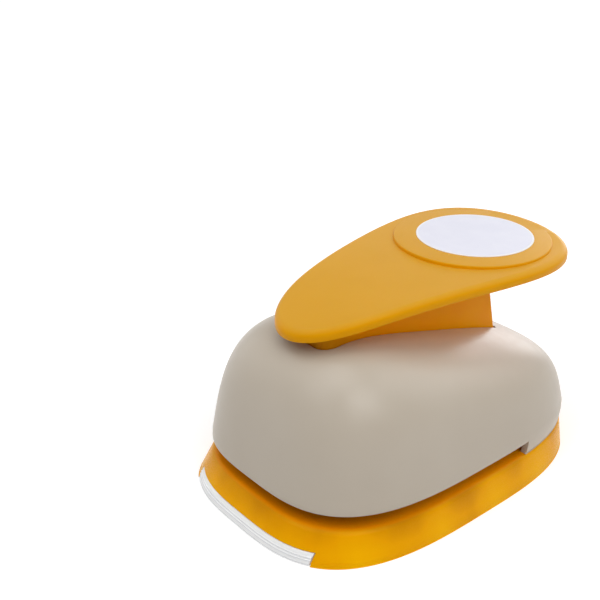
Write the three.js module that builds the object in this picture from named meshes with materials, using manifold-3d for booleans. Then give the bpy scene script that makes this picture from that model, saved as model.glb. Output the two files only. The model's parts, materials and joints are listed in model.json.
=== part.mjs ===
// A desk punch with a press lever, which cuts 63 mm circles out of paper and thin card.
// Millimetres, +Z up. The paper goes in from the front, -Y, and the lever is pressed at the rear.
// The model is laid out from the punch's own axis. At the end it is moved so that the origin
// is on the table, under the middle of its overall length and width.

import * as THREE from 'three';
import { mergeVertices } from 'three/addons/utils/BufferGeometryUtils.js';
import Module from 'manifold-3d';

const wasm = await Module();
wasm.setup();

// Driving dimensions

const SHAPE_DIAMETER = 63;

const RUN_GAP = 0.3;
const OVERRUN = 2;

const DIE_THICKNESS = 5;
const GUIDE_THICKNESS = 5;
const PAPER_GAP = 2;
const SIDE_LAND = 8.3;
const FRONT_LAND = 14;
const REAR_LAND = 38.5;
const THROAT_LAND = 3.7;

const TABLE_HEIGHT = 11.1;
const TABLE_SIDE_RIM = 7;
const TABLE_FRONT_RIM = 12.2;
const TABLE_REAR_RIM = 10;
const TABLE_EDGE_CHAMFER = 0.9;
const SKIRT_SIDE_FLARE = 3.4;
const SKIRT_FRONT_FLARE = 6.3;
const BASE_WALL = 2.4;
const LEDGE_WIDTH = 3.5;
const LEDGE_THICKNESS = 1.5;
const COLLAR_WALL = 2;
const RIB_WALL = 2.2;
const WALL_RIB_SPACING = 28.5;
const RIB_FOOT_GAP = 1.2;

const CUTOUT_HEIGHT = 4.3;
const TRAY_FLOOR = 1.4;
const TRAY_LIP_WALL = 1.8;
const TRAY_REAR_WALL = 1.6;
const TRAY_SIDE_WALL = 1.2;
const TRAY_SIDE_PLAY = 0.4;
const TRAY_PAST_HOLE = 14;

const HOUSING_OVERHANG = 0.8;
const HOUSING_WALL = 2.4;
const HOUSING_MOUTH = 6;
const HOUSING_COVER = 7.96;
const HOUSING_SLOT_PLAY = 0.6;
const HOUSING_NOTCH_LAND = 2.5;
const BOSS_HEIGHT = 13;
const BOSS_WELD = 1.2;

const PUNCH_PLAY = 0.15;
const PUNCH_LIFT = 0.5;
const PUNCH_HEIGHT = 13.4;
const PUNCH_FACE = 5;
const PUNCH_RIM = 3.3;
const PUNCH_SHEAR = 2;
const HUB_RADIUS = 20;
const HUB_HEIGHT = 6;
const BAR_THICKNESS = 4;
const BAR_WIDTH = 14;
const BAR_PAST_POST = 3.8;

const POST_RADIUS = 1.8;
const POST_PAST_HOLE = 3.7;
const POST_HEAD_RADIUS = 3;
const POST_HEAD_HEIGHT = 1.5;
const SPRING_RADIUS = 3.1;
const SPRING_WIRE = 0.8;
const SPRING_TURNS = 6;

const LEVER_REACH = 36;
const LEVER_PRESS_DEGREES = 14;
const NOSE_RADIUS = 6;
const NOSE_DROP = 4.7;
const PIN_RADIUS = 3;
const PIN_HEAD_RADIUS = 4.4;
const PIN_HEAD_HEIGHT = 1.2;
const PIN_TAIL = 2.2;
const PIN_GROOVE_RADIUS = 2.4;
const CLIP_THICKNESS = 0.8;
const CLIP_RADIUS = 5;
const EYE_RADIUS = 6.5;
const EAR_WALL = 2.5;
const BRACKET_LENGTH = 11;
const BRACKET_FRONT_SETBACK = 2;

const STEM_HALF_WIDTH = 11.2;
const STEM_FRONT_SETBACK = 2.2;
const STEM_CORNER = 5;
const STEM_REAR_REACH = 91.2;
const STEM_REAR_LEAN_SHARE = 0.25;
const STEM_FLOOR_GAP = 0.6;
const STEM_NECK_REACH = 54;
const STEM_NECK_DROP = 0.5;

const PADDLE_RISE = 21.84;
const PADDLE_HALF_LENGTH = 61.9;
const PADDLE_HALF_WIDTH = 30.75;
const PADDLE_MIDDLE_REACH = 55.8;
const PADDLE_REAR_RISE = 1.8;
const PADDLE_ARCH = 3.2;
const PADDLE_REAR_HOLD = 3.2;
const PADDLE_DEPTH = 4;
const PADDLE_SHOULDER = 2.3;
const PADDLE_WALL = 1.6;
const PAD_RADIUS = 29.8;
const PAD_STEP = 1.4;
const PAD_REACH = 85.7;
const LABEL_RADIUS = 22.15;
const LABEL_THICKNESS = 0.3;
const LABEL_REACH = 87.2;
const FLANGE_THICKNESS = 1.4;
const FLANGE_SET_UP = 0.3;
const FLANGE_PLAY = 0.7;

const SCREW_RADIUS = 1.25;
const SCREW_HEAD_RADIUS = 2.6;
const SCREW_HEAD_HEIGHT = 1.6;
const SCREW_BITE = 3.4;
const SCREW_SEAT = 3.2;
const SCREW_WALL = 0.9;
const RIVET_RADIUS = 2;
const RIVET_HEAD_RADIUS = 3.6;
const RIVET_HEAD_HEIGHT = 1.2;

// Powers of the rounded plan outlines and of the housing's walls

const FOOT_FRONT_POWER = 3.14;
const EDGE_FRONT_POWER = 3.2;
const REAR_POWER = 3.06;
const DOME_FRONT_POWER = 3.79;
const DOME_REAR_POWER = 5.48;
const DOME_SIDE_POWER = 3.17;

// Shares, each of the size that it follows

const DOME_DRAW_IN_SHARE = 0.11;
const DOME_LEAN_SHARE = 0.06;
const DOME_FALL_SHARE = 0.483;
const DOME_ROUND_SHARE = 0.02;
const PADDLE_PLAN_SHARES = [1, 0.44, 0.39, 0.01];
const BOSS_TURN_SHARES = [0.3, 0.58];
const RIVET_PLACE_SHARES = [[0.68, 0.14], [0.42, 0.72]];
const REAR_SCREW_PLACE_SHARES = [0.25, 0.5];
const REAR_RIB_SHARE = 0.82;
const PADDLE_SCREW_PLACE_SHARES = [[0.56, 0.6], [0.56, -0.08]];
const BRACKET_SCREW_SHARE = 0.55;
const HUB_SCREW_SHARE = 0.68;

// How finely round shapes are cut into flats

const PLAN_STEPS = 48;
const PADDLE_STEPS = 40;
const BORE_STEPS = 48;
const ROUND_STEPS = 14;
const DOME_RINGS = 9;
const DOME_INNER_RINGS = 5;
const SHOULDER_STEPS = 3;
const TOP_RING_SHARES = [0.3, 0.65];
const CURL_STEPS = 8;
const WIRE_SIDES = 5;

// Heights and places that follow

const shapeRadius = SHAPE_DIAMETER / 2;
const dieBottom = TABLE_HEIGHT - DIE_THICKNESS;
const guideBottom = TABLE_HEIGHT + PAPER_GAP;
const guideTop = guideBottom + GUIDE_THICKNESS;
const punchFace = guideBottom + PUNCH_LIFT;
const punchTop = punchFace + PUNCH_HEIGHT;
const barBottom = punchTop + HUB_HEIGHT;
const barTop = barBottom + BAR_THICKNESS;
const noseHeight = barTop + RUN_GAP + NOSE_RADIUS;
const pivotY = -LEVER_REACH;
const pivotZ = noseHeight + NOSE_DROP;
const pressAngle = THREE.MathUtils.degToRad(LEVER_PRESS_DEGREES);
const stroke = LEVER_REACH * Math.sin(pressAngle) - NOSE_DROP * (1 - Math.cos(pressAngle));

const plate = {
  halfWidth: shapeRadius + SIDE_LAND,
  front: -shapeRadius - FRONT_LAND,
  rear: shapeRadius + REAR_LAND,
  frontPower: EDGE_FRONT_POWER,
};
const table = {
  halfWidth: plate.halfWidth + TABLE_SIDE_RIM,
  front: plate.front - TABLE_FRONT_RIM,
  rear: plate.rear + TABLE_REAR_RIM,
  frontPower: EDGE_FRONT_POWER,
};
const foot = {
  halfWidth: table.halfWidth + SKIRT_SIDE_FLARE,
  front: table.front - SKIRT_FRONT_FLARE,
  rear: table.rear,
  frontPower: FOOT_FRONT_POWER,
};
const edge = {
  halfWidth: table.halfWidth + HOUSING_OVERHANG,
  front: table.front,
  rear: table.rear,
  frontPower: EDGE_FRONT_POWER,
};
const throatY = shapeRadius + THROAT_LAND;
const notchY = shapeRadius + HOUSING_NOTCH_LAND;
const deckBottom = TABLE_HEIGHT - BASE_WALL;
const ledgeBottom = dieBottom - LEDGE_THICKNESS;
const channelHalfWidth = shapeRadius + TRAY_SIDE_PLAY;
const edgeHeight = TABLE_HEIGHT + HOUSING_MOUTH;
const domeHeight = pivotZ + HOUSING_COVER - edgeHeight;
const postX = shapeRadius + POST_PAST_HOLE;
const bossRadius = SCREW_HEAD_RADIUS + RUN_GAP;
const pillarRadius = bossRadius + SCREW_WALL;
const screwHoleRadius = SCREW_RADIUS + RUN_GAP;
const rivetHoleRadius = RIVET_RADIUS + RUN_GAP;
const trayRear = shapeRadius + TRAY_PAST_HOLE;
const bracketFront = plate.front + BRACKET_FRONT_SETBACK;
const bracketRear = bracketFront + BRACKET_LENGTH;
const earInner = STEM_HALF_WIDTH + TRAY_SIDE_PLAY;
const earOuter = earInner + EAR_WALL;

// Solids and meshes

function weld(geometry) {
  const bare = new THREE.BufferGeometry();
  bare.setAttribute('position', geometry.getAttribute('position').clone());
  if (geometry.index) bare.setIndex(geometry.index.clone());
  const merged = mergeVertices(bare);
  const kept = [];
  const index = merged.index.array;
  for (let i = 0; i < index.length; i += 3) {
    const [a, b, c] = index.slice(i, i + 3);
    if (a !== b && b !== c && c !== a) kept.push(a, b, c);
  }
  merged.setIndex(kept);
  return merged;
}

function solid(geometry) {
  const welded = weld(geometry);
  return new wasm.Manifold(new wasm.Mesh({
    numProp: 3,
    vertProperties: new Float32Array(welded.getAttribute('position').array),
    triVerts: new Uint32Array(welded.index.array),
  }));
}

function joined(first, ...rest) {
  return rest.reduce((whole, next) => whole.add(next), first);
}

function without(first, ...cuts) {
  return cuts.reduce((whole, next) => whole.subtract(next), first);
}

function surface(shape) {
  if (shape.isBufferGeometry) return weld(shape);
  const mesh = shape.getMesh();
  const geometry = new THREE.BufferGeometry();
  geometry.setAttribute('position', new THREE.BufferAttribute(new Float32Array(mesh.vertProperties), 3));
  geometry.setIndex([...mesh.triVerts]);
  return geometry;
}

// A block between two corners
function block(x0, x1, y0, y1, z0, z1) {
  const box = new THREE.BoxGeometry(x1 - x0, y1 - y0, z1 - z0);
  return box.translate((x0 + x1) / 2, (y0 + y1) / 2, (z0 + z1) / 2);
}

// An upright prism over a plan outline, with round holes given as [x, y, radius]
function prism(outline, z0, z1, holes = []) {
  const shape = new THREE.Shape(outline.map(([x, y]) => new THREE.Vector2(x, y)));
  for (const [x, y, radius] of holes) {
    const steps = radius < shapeRadius ? ROUND_STEPS : BORE_STEPS;
    const hole = circlePoints(steps, radius).map(([u, v]) => new THREE.Vector2(x + u, y + v));
    shape.holes.push(new THREE.Path(hole));
  }
  const geometry = new THREE.ExtrudeGeometry(shape, { depth: z1 - z0, bevelEnabled: false });
  return geometry.translate(0, 0, z0);
}

// A profile drawn in Y and Z, and extruded along X
function sideways(outline, x0, x1) {
  const turn = new THREE.Matrix4().makeBasis(
    new THREE.Vector3(0, 1, 0), new THREE.Vector3(0, 0, 1), new THREE.Vector3(1, 0, 0));
  return prism(outline, 0, x1 - x0).applyMatrix4(turn).translate(x0, 0, 0);
}

function circlePoints(steps, radius) {
  const points = [];
  for (let i = 0; i < steps; i += 1) {
    const turn = 2 * Math.PI * i / steps;
    points.push([radius * Math.cos(turn), radius * Math.sin(turn)]);
  }
  return points;
}

// A turned piece on an upright axis; its profile runs from the axis round to the axis again
function turned(profile, x, y, steps = ROUND_STEPS) {
  const rings = profile.map(([radius, z]) => (radius === 0
    ? [new THREE.Vector3(x, y, z)]
    : circlePoints(steps, radius).map(([u, v]) => new THREE.Vector3(x + u, y + v, z))));
  return loft(rings);
}

function rod(radius, x, y, z0, z1, steps = ROUND_STEPS) {
  return turned([[0, z1], [radius, z1], [radius, z0], [0, z0]], x, y, steps);
}

// A turned piece laid along X
function turnedAlongX(profile, y, z, steps = ROUND_STEPS) {
  const turn = new THREE.Matrix4().makeBasis(
    new THREE.Vector3(0, 1, 0), new THREE.Vector3(0, 0, 1), new THREE.Vector3(1, 0, 0));
  return turned(profile, 0, 0, steps).applyMatrix4(turn).translate(0, y, z);
}

// Skin over a row of rings that run anticlockwise seen from above, from a top point down
// the outside, and on to a lower point or back up the inside; a point is a ring of one
function loft(rings) {
  const corners = [];
  const starts = [];
  for (const ring of rings) {
    starts.push(corners.length);
    corners.push(...ring);
  }
  const faces = [];
  for (let r = 0; r + 1 < rings.length; r += 1) {
    const upper = rings[r].length;
    const lower = rings[r + 1].length;
    const count = Math.max(upper, lower);
    for (let i = 0; i < count; i += 1) {
      const a = starts[r] + (i % upper);
      const aNext = starts[r] + ((i + 1) % upper);
      const b = starts[r + 1] + (i % lower);
      const bNext = starts[r + 1] + ((i + 1) % lower);
      if (lower > 1) faces.push(a, b, bNext);
      if (upper > 1) faces.push(a, bNext, aNext);
    }
  }
  const geometry = new THREE.BufferGeometry().setFromPoints(corners);
  geometry.setIndex(faces);
  return geometry;
}

// Plan outlines: rounded ovals with one power for the front half and one for the rear

function signedPower(value, power) {
  return Math.sign(value) * Math.abs(value) ** power;
}

function ovalPoint(oval, turn, inset) {
  const middle = (oval.front + oval.rear) / 2;
  const halfLength = (oval.rear - oval.front) / 2;
  const power = 2 / (Math.sin(turn) < 0 ? oval.frontPower : REAR_POWER);
  const x = (oval.halfWidth - inset) * signedPower(Math.cos(turn), power);
  const y = middle + (halfLength - inset) * signedPower(Math.sin(turn), power);
  return [x, y];
}

function ovalOutline(oval, inset) {
  const points = [];
  for (let i = 0; i < PLAN_STEPS; i += 1) {
    points.push(ovalPoint(oval, 2 * Math.PI * i / PLAN_STEPS, inset));
  }
  return points;
}

function ovalRing(oval, inset, z) {
  return ovalOutline(oval, inset).map(([x, y]) => new THREE.Vector3(x, y, z));
}

function middlePoint(oval, z) {
  return [new THREE.Vector3(0, (oval.front + oval.rear) / 2, z)];
}

// The skirt's outer shape, solid, drawn in by an inset and closed at a top height
function skirtSolid(inset, bottom, top) {
  const lean = (height) => height / TABLE_HEIGHT;
  const ring = (height) => {
    const low = ovalRing(foot, inset, height);
    const high = ovalRing(table, inset, height);
    return low.map((point, i) => point.clone().lerp(high[i], lean(height)));
  };
  return solid(loft([middlePoint(table, top), ring(top), ring(bottom), middlePoint(table, bottom)]));
}

// Places of fasteners

function mirrored(x, y) {
  return [[x, y], [-x, y]];
}

const housingScrewPlaces = BOSS_TURN_SHARES.flatMap((share) => {
  const inset = HOUSING_WALL + bossRadius - BOSS_WELD;
  return mirrored(...ovalPoint(table, share * Math.PI / 2, inset));
});
const throatToRear = plate.rear - throatY;
const rivetPlaces = RIVET_PLACE_SHARES.flatMap(([across, along]) => (
  mirrored(across * plate.halfWidth, throatY + along * throatToRear)));
const dieScrewPlaces = [
  ...mirrored(channelHalfWidth + pillarRadius + RUN_GAP, 0),
  ...mirrored(REAR_SCREW_PLACE_SHARES[0] * plate.halfWidth,
    throatY + REAR_SCREW_PLACE_SHARES[1] * throatToRear),
];
const bracketScrewPlaces = mirrored(
  BRACKET_SCREW_SHARE * STEM_HALF_WIDTH, (bracketFront + bracketRear) / 2);
const hubScrewPlaces = [[0, HUB_SCREW_SHARE * HUB_RADIUS], [0, -HUB_SCREW_SHARE * HUB_RADIUS]];

// A screw with its head at one end: up is 1 with the head below, -1 with the head on top
function screw(x, y, seat, bite, up) {
  const profile = [
    [0, seat + up * bite], [SCREW_RADIUS, seat + up * bite], [SCREW_RADIUS, seat],
    [SCREW_HEAD_RADIUS, seat], [SCREW_HEAD_RADIUS, seat - up * SCREW_HEAD_HEIGHT],
    [0, seat - up * SCREW_HEAD_HEIGHT],
  ];
  return turned(up > 0 ? profile : profile.reverse(), x, y);
}

// Base

function baseShell() {
  const outside = solid(loft([
    middlePoint(table, TABLE_HEIGHT),
    ovalRing(table, TABLE_EDGE_CHAMFER, TABLE_HEIGHT),
    ovalRing(table, 0, TABLE_HEIGHT - TABLE_EDGE_CHAMFER),
    ovalRing(foot, 0, 0),
    middlePoint(foot, 0),
  ]));
  return without(outside, skirtSolid(BASE_WALL, -OVERRUN, deckBottom));
}

// The pocket that the die plate lies in: a collar under the table and a ledge inside it
function diePocket() {
  const collar = solid(prism(ovalOutline(plate, -RUN_GAP - COLLAR_WALL), ledgeBottom, TABLE_HEIGHT));
  const ledgeHole = solid(prism(ovalOutline(plate, LEDGE_WIDTH), ledgeBottom - OVERRUN, TABLE_HEIGHT));
  return without(collar, ledgeHole);
}

function pillar([x, y], top) {
  return solid(rod(pillarRadius, x, y, RIB_FOOT_GAP, top));
}

function pillarBore([x, y], top) {
  const bore = solid(rod(screwHoleRadius, x, y, 0, top + OVERRUN));
  return bore.add(solid(rod(bossRadius, x, y, -OVERRUN, SCREW_SEAT)));
}

// Ribs that guide the tray on both sides and stop it at the rear
function trayChannel(side) {
  const near = side * channelHalfWidth;
  const far = side * (channelHalfWidth + RIB_WALL);
  const rib = block(Math.min(near, far), Math.max(near, far),
    plate.front, trayRear + RUN_GAP + RIB_WALL, RIB_FOOT_GAP, dieBottom);
  return solid(rib);
}

// Short ribs from the tray's channel out to the skirt, evenly spaced about the shape's centre
function wallRibs(side) {
  const ribs = [-1, 0, 1].map((step) => {
    const y = step * WALL_RIB_SPACING;
    const x0 = side * (channelHalfWidth + RIB_WALL / 2);
    const x1 = side * foot.halfWidth;
    return solid(block(Math.min(x0, x1), Math.max(x0, x1), y - RIB_WALL / 2, y + RIB_WALL / 2,
      RIB_FOOT_GAP, deckBottom + BASE_WALL / 2));
  });
  return joined(...ribs).intersect(skirtSolid(BASE_WALL / 2, -OVERRUN, TABLE_HEIGHT));
}

function makeBase() {
  const rearRibY = dieScrewPlaces[2][1];
  const stop = block(-channelHalfWidth - RIB_WALL, channelHalfWidth + RIB_WALL,
    trayRear + RUN_GAP, trayRear + RUN_GAP + RIB_WALL, RIB_FOOT_GAP, dieBottom);
  const rearRibHalf = REAR_RIB_SHARE * plate.halfWidth;
  const rearRib = block(-rearRibHalf, rearRibHalf,
    rearRibY - RIB_WALL / 2, rearRibY + RIB_WALL / 2, RIB_FOOT_GAP, dieBottom);
  const whole = joined(baseShell(), diePocket(), trayChannel(1), trayChannel(-1),
    solid(stop), solid(rearRib), wallRibs(1), wallRibs(-1),
    ...dieScrewPlaces.map((place) => pillar(place, dieBottom)),
    ...housingScrewPlaces.map((place) => pillar(place, TABLE_HEIGHT)));
  const pocket = solid(prism(ovalOutline(plate, -RUN_GAP), dieBottom, TABLE_HEIGHT + OVERRUN));
  const cutout = block(-channelHalfWidth, channelHalfWidth, foot.front - OVERRUN, plate.front,
    -OVERRUN, CUTOUT_HEIGHT);
  return without(whole, pocket, solid(cutout),
    ...dieScrewPlaces.map((place) => pillarBore(place, dieBottom)),
    ...housingScrewPlaces.map((place) => pillarBore(place, TABLE_HEIGHT)));
}

// Tray under the die: a flat floor, a front lip that closes the skirt's cut-out, low rear and side walls

function makeTray() {
  const halfWidth = shapeRadius;
  const lipTop = CUTOUT_HEIGHT - RUN_GAP;
  const reach = block(-halfWidth, halfWidth, foot.front - OVERRUN, plate.front, RUN_GAP, lipTop);
  const hollowHalf = halfWidth - TRAY_SIDE_WALL;
  const hollow = block(-hollowHalf, hollowHalf, foot.front - OVERRUN, plate.front + OVERRUN,
    RUN_GAP + TRAY_FLOOR, lipTop + OVERRUN);
  const front = skirtSolid(0, 0, CUTOUT_HEIGHT).intersect(solid(reach));
  const behindLip = skirtSolid(TRAY_LIP_WALL, -OVERRUN, TABLE_HEIGHT).intersect(solid(hollow));
  const floorFront = plate.front - RIB_WALL;
  const floor = block(-halfWidth, halfWidth, floorFront, trayRear, RUN_GAP, RUN_GAP + TRAY_FLOOR);
  const rear = block(-halfWidth, halfWidth, trayRear - TRAY_REAR_WALL, trayRear, RUN_GAP, lipTop);
  const left = block(-halfWidth, -hollowHalf, floorFront, trayRear, RUN_GAP, lipTop);
  const right = block(hollowHalf, halfWidth, floorFront, trayRear, RUN_GAP, lipTop);
  return joined(without(front, behindLip), solid(floor), solid(rear), solid(left), solid(right));
}

// Die set

function frameHoles() {
  return rivetPlaces.map(([x, y]) => [x, y, rivetHoleRadius]);
}

function makeDiePlate() {
  const bore = [[0, 0, shapeRadius]];
  const whole = solid(prism(ovalOutline(plate, 0), dieBottom, TABLE_HEIGHT, [...bore, ...frameHoles()]));
  return without(whole, ...dieScrewPlaces.map(([x, y]) => (
    solid(rod(screwHoleRadius, x, y, dieBottom - OVERRUN, dieBottom + SCREW_BITE + RUN_GAP)))));
}

function makeSpacer() {
  const whole = solid(prism(ovalOutline(plate, 0), TABLE_HEIGHT, guideBottom, frameHoles()));
  const throat = block(-plate.halfWidth - OVERRUN, plate.halfWidth + OVERRUN, plate.front - OVERRUN, throatY,
    TABLE_HEIGHT - OVERRUN, guideBottom + OVERRUN);
  return without(whole, solid(throat));
}

function makeGuidePlate() {
  const bore = [[0, 0, shapeRadius]];
  const posts = mirrored(postX, 0).map(([x, y]) => [x, y, POST_RADIUS + RUN_GAP]);
  const holes = [...bore, ...frameHoles(), ...posts];
  const whole = solid(prism(ovalOutline(plate, 0), guideBottom, guideTop, holes));
  return without(whole, ...bracketScrewPlaces.map(([x, y]) => (
    solid(rod(screwHoleRadius, x, y, guideTop - SCREW_BITE - RUN_GAP, guideTop + OVERRUN)))));
}

function makeRivet([x, y]) {
  const low = dieBottom;
  const high = guideTop;
  return turned([
    [0, high + RIVET_HEAD_HEIGHT], [RIVET_HEAD_RADIUS, high + RIVET_HEAD_HEIGHT], [RIVET_HEAD_RADIUS, high],
    [RIVET_RADIUS, high], [RIVET_RADIUS, low], [RIVET_HEAD_RADIUS, low],
    [RIVET_HEAD_RADIUS, low - RIVET_HEAD_HEIGHT], [0, low - RIVET_HEAD_HEIGHT],
  ], x, y);
}

// Punch and the crosshead on top of it

function makePunch() {
  const radius = shapeRadius - PUNCH_PLAY;
  const body = solid(turned([
    [0, punchTop], [HUB_RADIUS, punchTop], [HUB_RADIUS, punchFace + PUNCH_FACE],
    [radius - PUNCH_RIM, punchFace + PUNCH_FACE], [radius - PUNCH_RIM, punchTop], [radius, punchTop],
    [radius, punchFace], [0, punchFace],
  ], 0, 0, BORE_STEPS));
  const roof = sideways([
    [-radius, punchFace], [0, punchFace + PUNCH_SHEAR], [radius, punchFace],
    [radius, punchFace - OVERRUN], [-radius, punchFace - OVERRUN],
  ].reverse(), -radius - OVERRUN, radius + OVERRUN);
  return without(body, solid(roof), ...hubScrewPlaces.map(([x, y]) => (
    solid(rod(screwHoleRadius, x, y, punchTop - SCREW_BITE - RUN_GAP, punchTop + OVERRUN)))));
}

function makeCrosshead() {
  const barHalf = postX + BAR_PAST_POST;
  const bar = solid(block(-barHalf, barHalf, -BAR_WIDTH / 2, BAR_WIDTH / 2, barBottom - OVERRUN, barTop));
  const underBar = mirrored(barHalf, 0).map(([x]) => solid(block(
    Math.min(x, Math.sign(x) * HUB_RADIUS), Math.max(x, Math.sign(x) * HUB_RADIUS),
    -BAR_WIDTH, BAR_WIDTH, barBottom - OVERRUN - OVERRUN, barBottom)));
  const hub = solid(rod(HUB_RADIUS, 0, 0, punchTop, barBottom, BORE_STEPS));
  const postHoles = mirrored(postX, 0).map(([x, y]) => (
    solid(rod(POST_RADIUS + RUN_GAP, x, y, barBottom - OVERRUN, barTop + OVERRUN))));
  const screwHoles = hubScrewPlaces.map(([x, y]) => (
    solid(rod(screwHoleRadius, x, y, punchTop - OVERRUN, barTop + OVERRUN))));
  return without(joined(without(bar, ...underBar), hub), ...postHoles, ...screwHoles);
}

function makePost([x, y]) {
  const headBottom = barTop + RUN_GAP;
  return turned([
    [0, headBottom + POST_HEAD_HEIGHT], [POST_HEAD_RADIUS, headBottom + POST_HEAD_HEIGHT],
    [POST_HEAD_RADIUS, headBottom], [POST_RADIUS, headBottom], [POST_RADIUS, guideBottom + RUN_GAP],
    [0, guideBottom + RUN_GAP],
  ], x, y);
}

// Return springs, each one unbroken wire between the guide plate and the crosshead

function springPath() {
  const low = guideTop + RUN_GAP + SPRING_WIRE / 2;
  const high = barBottom - RUN_GAP - SPRING_WIRE / 2;
  const points = [];
  const steps = SPRING_TURNS * CURL_STEPS;
  for (let i = 0; i <= steps; i += 1) {
    const turn = 2 * Math.PI * i / CURL_STEPS;
    const z = low + (high - low) * i / steps;
    points.push(new THREE.Vector3(SPRING_RADIUS * Math.cos(turn), SPRING_RADIUS * Math.sin(turn), z));
  }
  const first = points[0].clone();
  first.y -= SPRING_WIRE;
  const last = points[steps].clone();
  last.y += SPRING_WIRE;
  return [first, ...points, last];
}

function makeSpring([x, y]) {
  const path = springPath();
  const rings = path.map((point, i) => {
    const before = path[Math.max(i - 1, 0)];
    const after = path[Math.min(i + 1, path.length - 1)];
    const along = after.clone().sub(before).normalize();
    const up = new THREE.Vector3(0, 0, 1);
    const side = new THREE.Vector3().crossVectors(along, up).normalize();
    const top = new THREE.Vector3().crossVectors(side, along);
    return circlePoints(WIRE_SIDES, SPRING_WIRE / 2).map(([u, v]) => (
      point.clone().addScaledVector(side, -u).addScaledVector(top, v)));
  });
  return loft([[path[path.length - 1]], ...rings.reverse(), [path[0]]]).translate(x, y, 0);
}

function leastSpringGap() {
  const path = springPath();
  let least = Infinity;
  for (let i = 0; i < path.length; i += 1) {
    for (let j = i + CURL_STEPS - 1; j < path.length; j += 1) {
      least = Math.min(least, path[i].distanceTo(path[j]) - SPRING_WIRE);
    }
  }
  return least;
}

// Lever pivot

function eyeProfile(radius, from, to) {
  const points = [];
  for (let i = 0; i <= ROUND_STEPS / 2; i += 1) {
    const turn = from + (to - from) * i / (ROUND_STEPS / 2);
    points.push([pivotY + radius * Math.cos(turn), pivotZ + radius * Math.sin(turn)]);
  }
  return points;
}

function makeBracket() {
  const profile = [[bracketFront, guideTop], [bracketRear, guideTop], ...eyeProfile(EYE_RADIUS, 0, Math.PI)];
  const ears = [1, -1].map((side) => solid(sideways(profile,
    Math.min(side * earInner, side * earOuter), Math.max(side * earInner, side * earOuter))));
  const web = solid(block(-earOuter, earOuter, bracketFront, bracketRear, guideTop, guideTop + EAR_WALL));
  const pinBore = turnedAlongX([
    [0, earOuter + OVERRUN], [PIN_RADIUS + RUN_GAP, earOuter + OVERRUN],
    [PIN_RADIUS + RUN_GAP, -earOuter - OVERRUN], [0, -earOuter - OVERRUN],
  ], pivotY, pivotZ);
  return without(joined(web, ...ears), solid(pinBore), ...bracketScrewPlaces.map(([x, y]) => (
    solid(rod(screwHoleRadius, x, y, guideTop - OVERRUN, guideTop + EAR_WALL + OVERRUN)))));
}

function makePivotPin() {
  const headInner = earOuter + RUN_GAP;
  const groove = -earOuter - RUN_GAP;
  return turnedAlongX([
    [0, headInner + PIN_HEAD_HEIGHT], [PIN_HEAD_RADIUS, headInner + PIN_HEAD_HEIGHT],
    [PIN_HEAD_RADIUS, headInner], [PIN_RADIUS, headInner], [PIN_RADIUS, groove], [PIN_GROOVE_RADIUS, groove],
    [PIN_GROOVE_RADIUS, groove - CLIP_THICKNESS - RUN_GAP], [PIN_RADIUS, groove - CLIP_THICKNESS - RUN_GAP],
    [PIN_RADIUS, groove - PIN_TAIL], [0, groove - PIN_TAIL],
  ], pivotY, pivotZ);
}

function makeClip() {
  const inner = PIN_GROOVE_RADIUS + RUN_GAP;
  const x1 = -earOuter - RUN_GAP - RUN_GAP / 2;
  const x0 = x1 - CLIP_THICKNESS;
  const profile = (radius) => circlePoints(ROUND_STEPS, radius).map(([u, v]) => [pivotY + u, pivotZ + v]);
  const ring = without(solid(sideways(profile(CLIP_RADIUS), x0, x1)),
    solid(sideways(profile(inner), x0 - OVERRUN, x1 + OVERRUN)));
  const mouth = block(x0 - OVERRUN, x1 + OVERRUN, pivotY - inner, pivotY + inner,
    pivotZ - CLIP_RADIUS - OVERRUN, pivotZ);
  return without(ring, solid(mouth));
}

// Paddle: a long drop shape in plan, with one height along its length

const paddleY = pivotY + PADDLE_MIDDLE_REACH;
const paddleZ = pivotZ + HOUSING_COVER + PADDLE_RISE;
const padTop = paddleZ + PAD_STEP;

function paddleTop(y) {
  const s = (y - paddleY) / PADDLE_HALF_LENGTH;
  return paddleZ + PADDLE_REAR_RISE * s - PADDLE_ARCH * s ** 2 + PADDLE_REAR_HOLD * s ** 3;
}

function paddleBottom(y) {
  return paddleTop(y) - PADDLE_DEPTH;
}

// One plan ring of the paddle, drawn in by an inset; height gives z from y
function paddleRing(inset, height, share = 1) {
  const ring = [];
  for (let i = 0; i < PADDLE_STEPS; i += 1) {
    const turn = 2 * Math.PI * i / PADDLE_STEPS;
    const s = Math.sin(turn);
    const bulge = PADDLE_PLAN_SHARES.reduce((sum, term, power) => sum + term * s ** power, 0);
    const x = share * (PADDLE_HALF_WIDTH - inset) * Math.cos(turn) * bulge;
    const y = paddleY + share * (PADDLE_HALF_LENGTH - inset) * s;
    ring.push(new THREE.Vector3(x, y, height(y)));
  }
  return ring;
}

function paddleMiddle(height) {
  return [new THREE.Vector3(0, paddleY, height(paddleY))];
}

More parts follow.
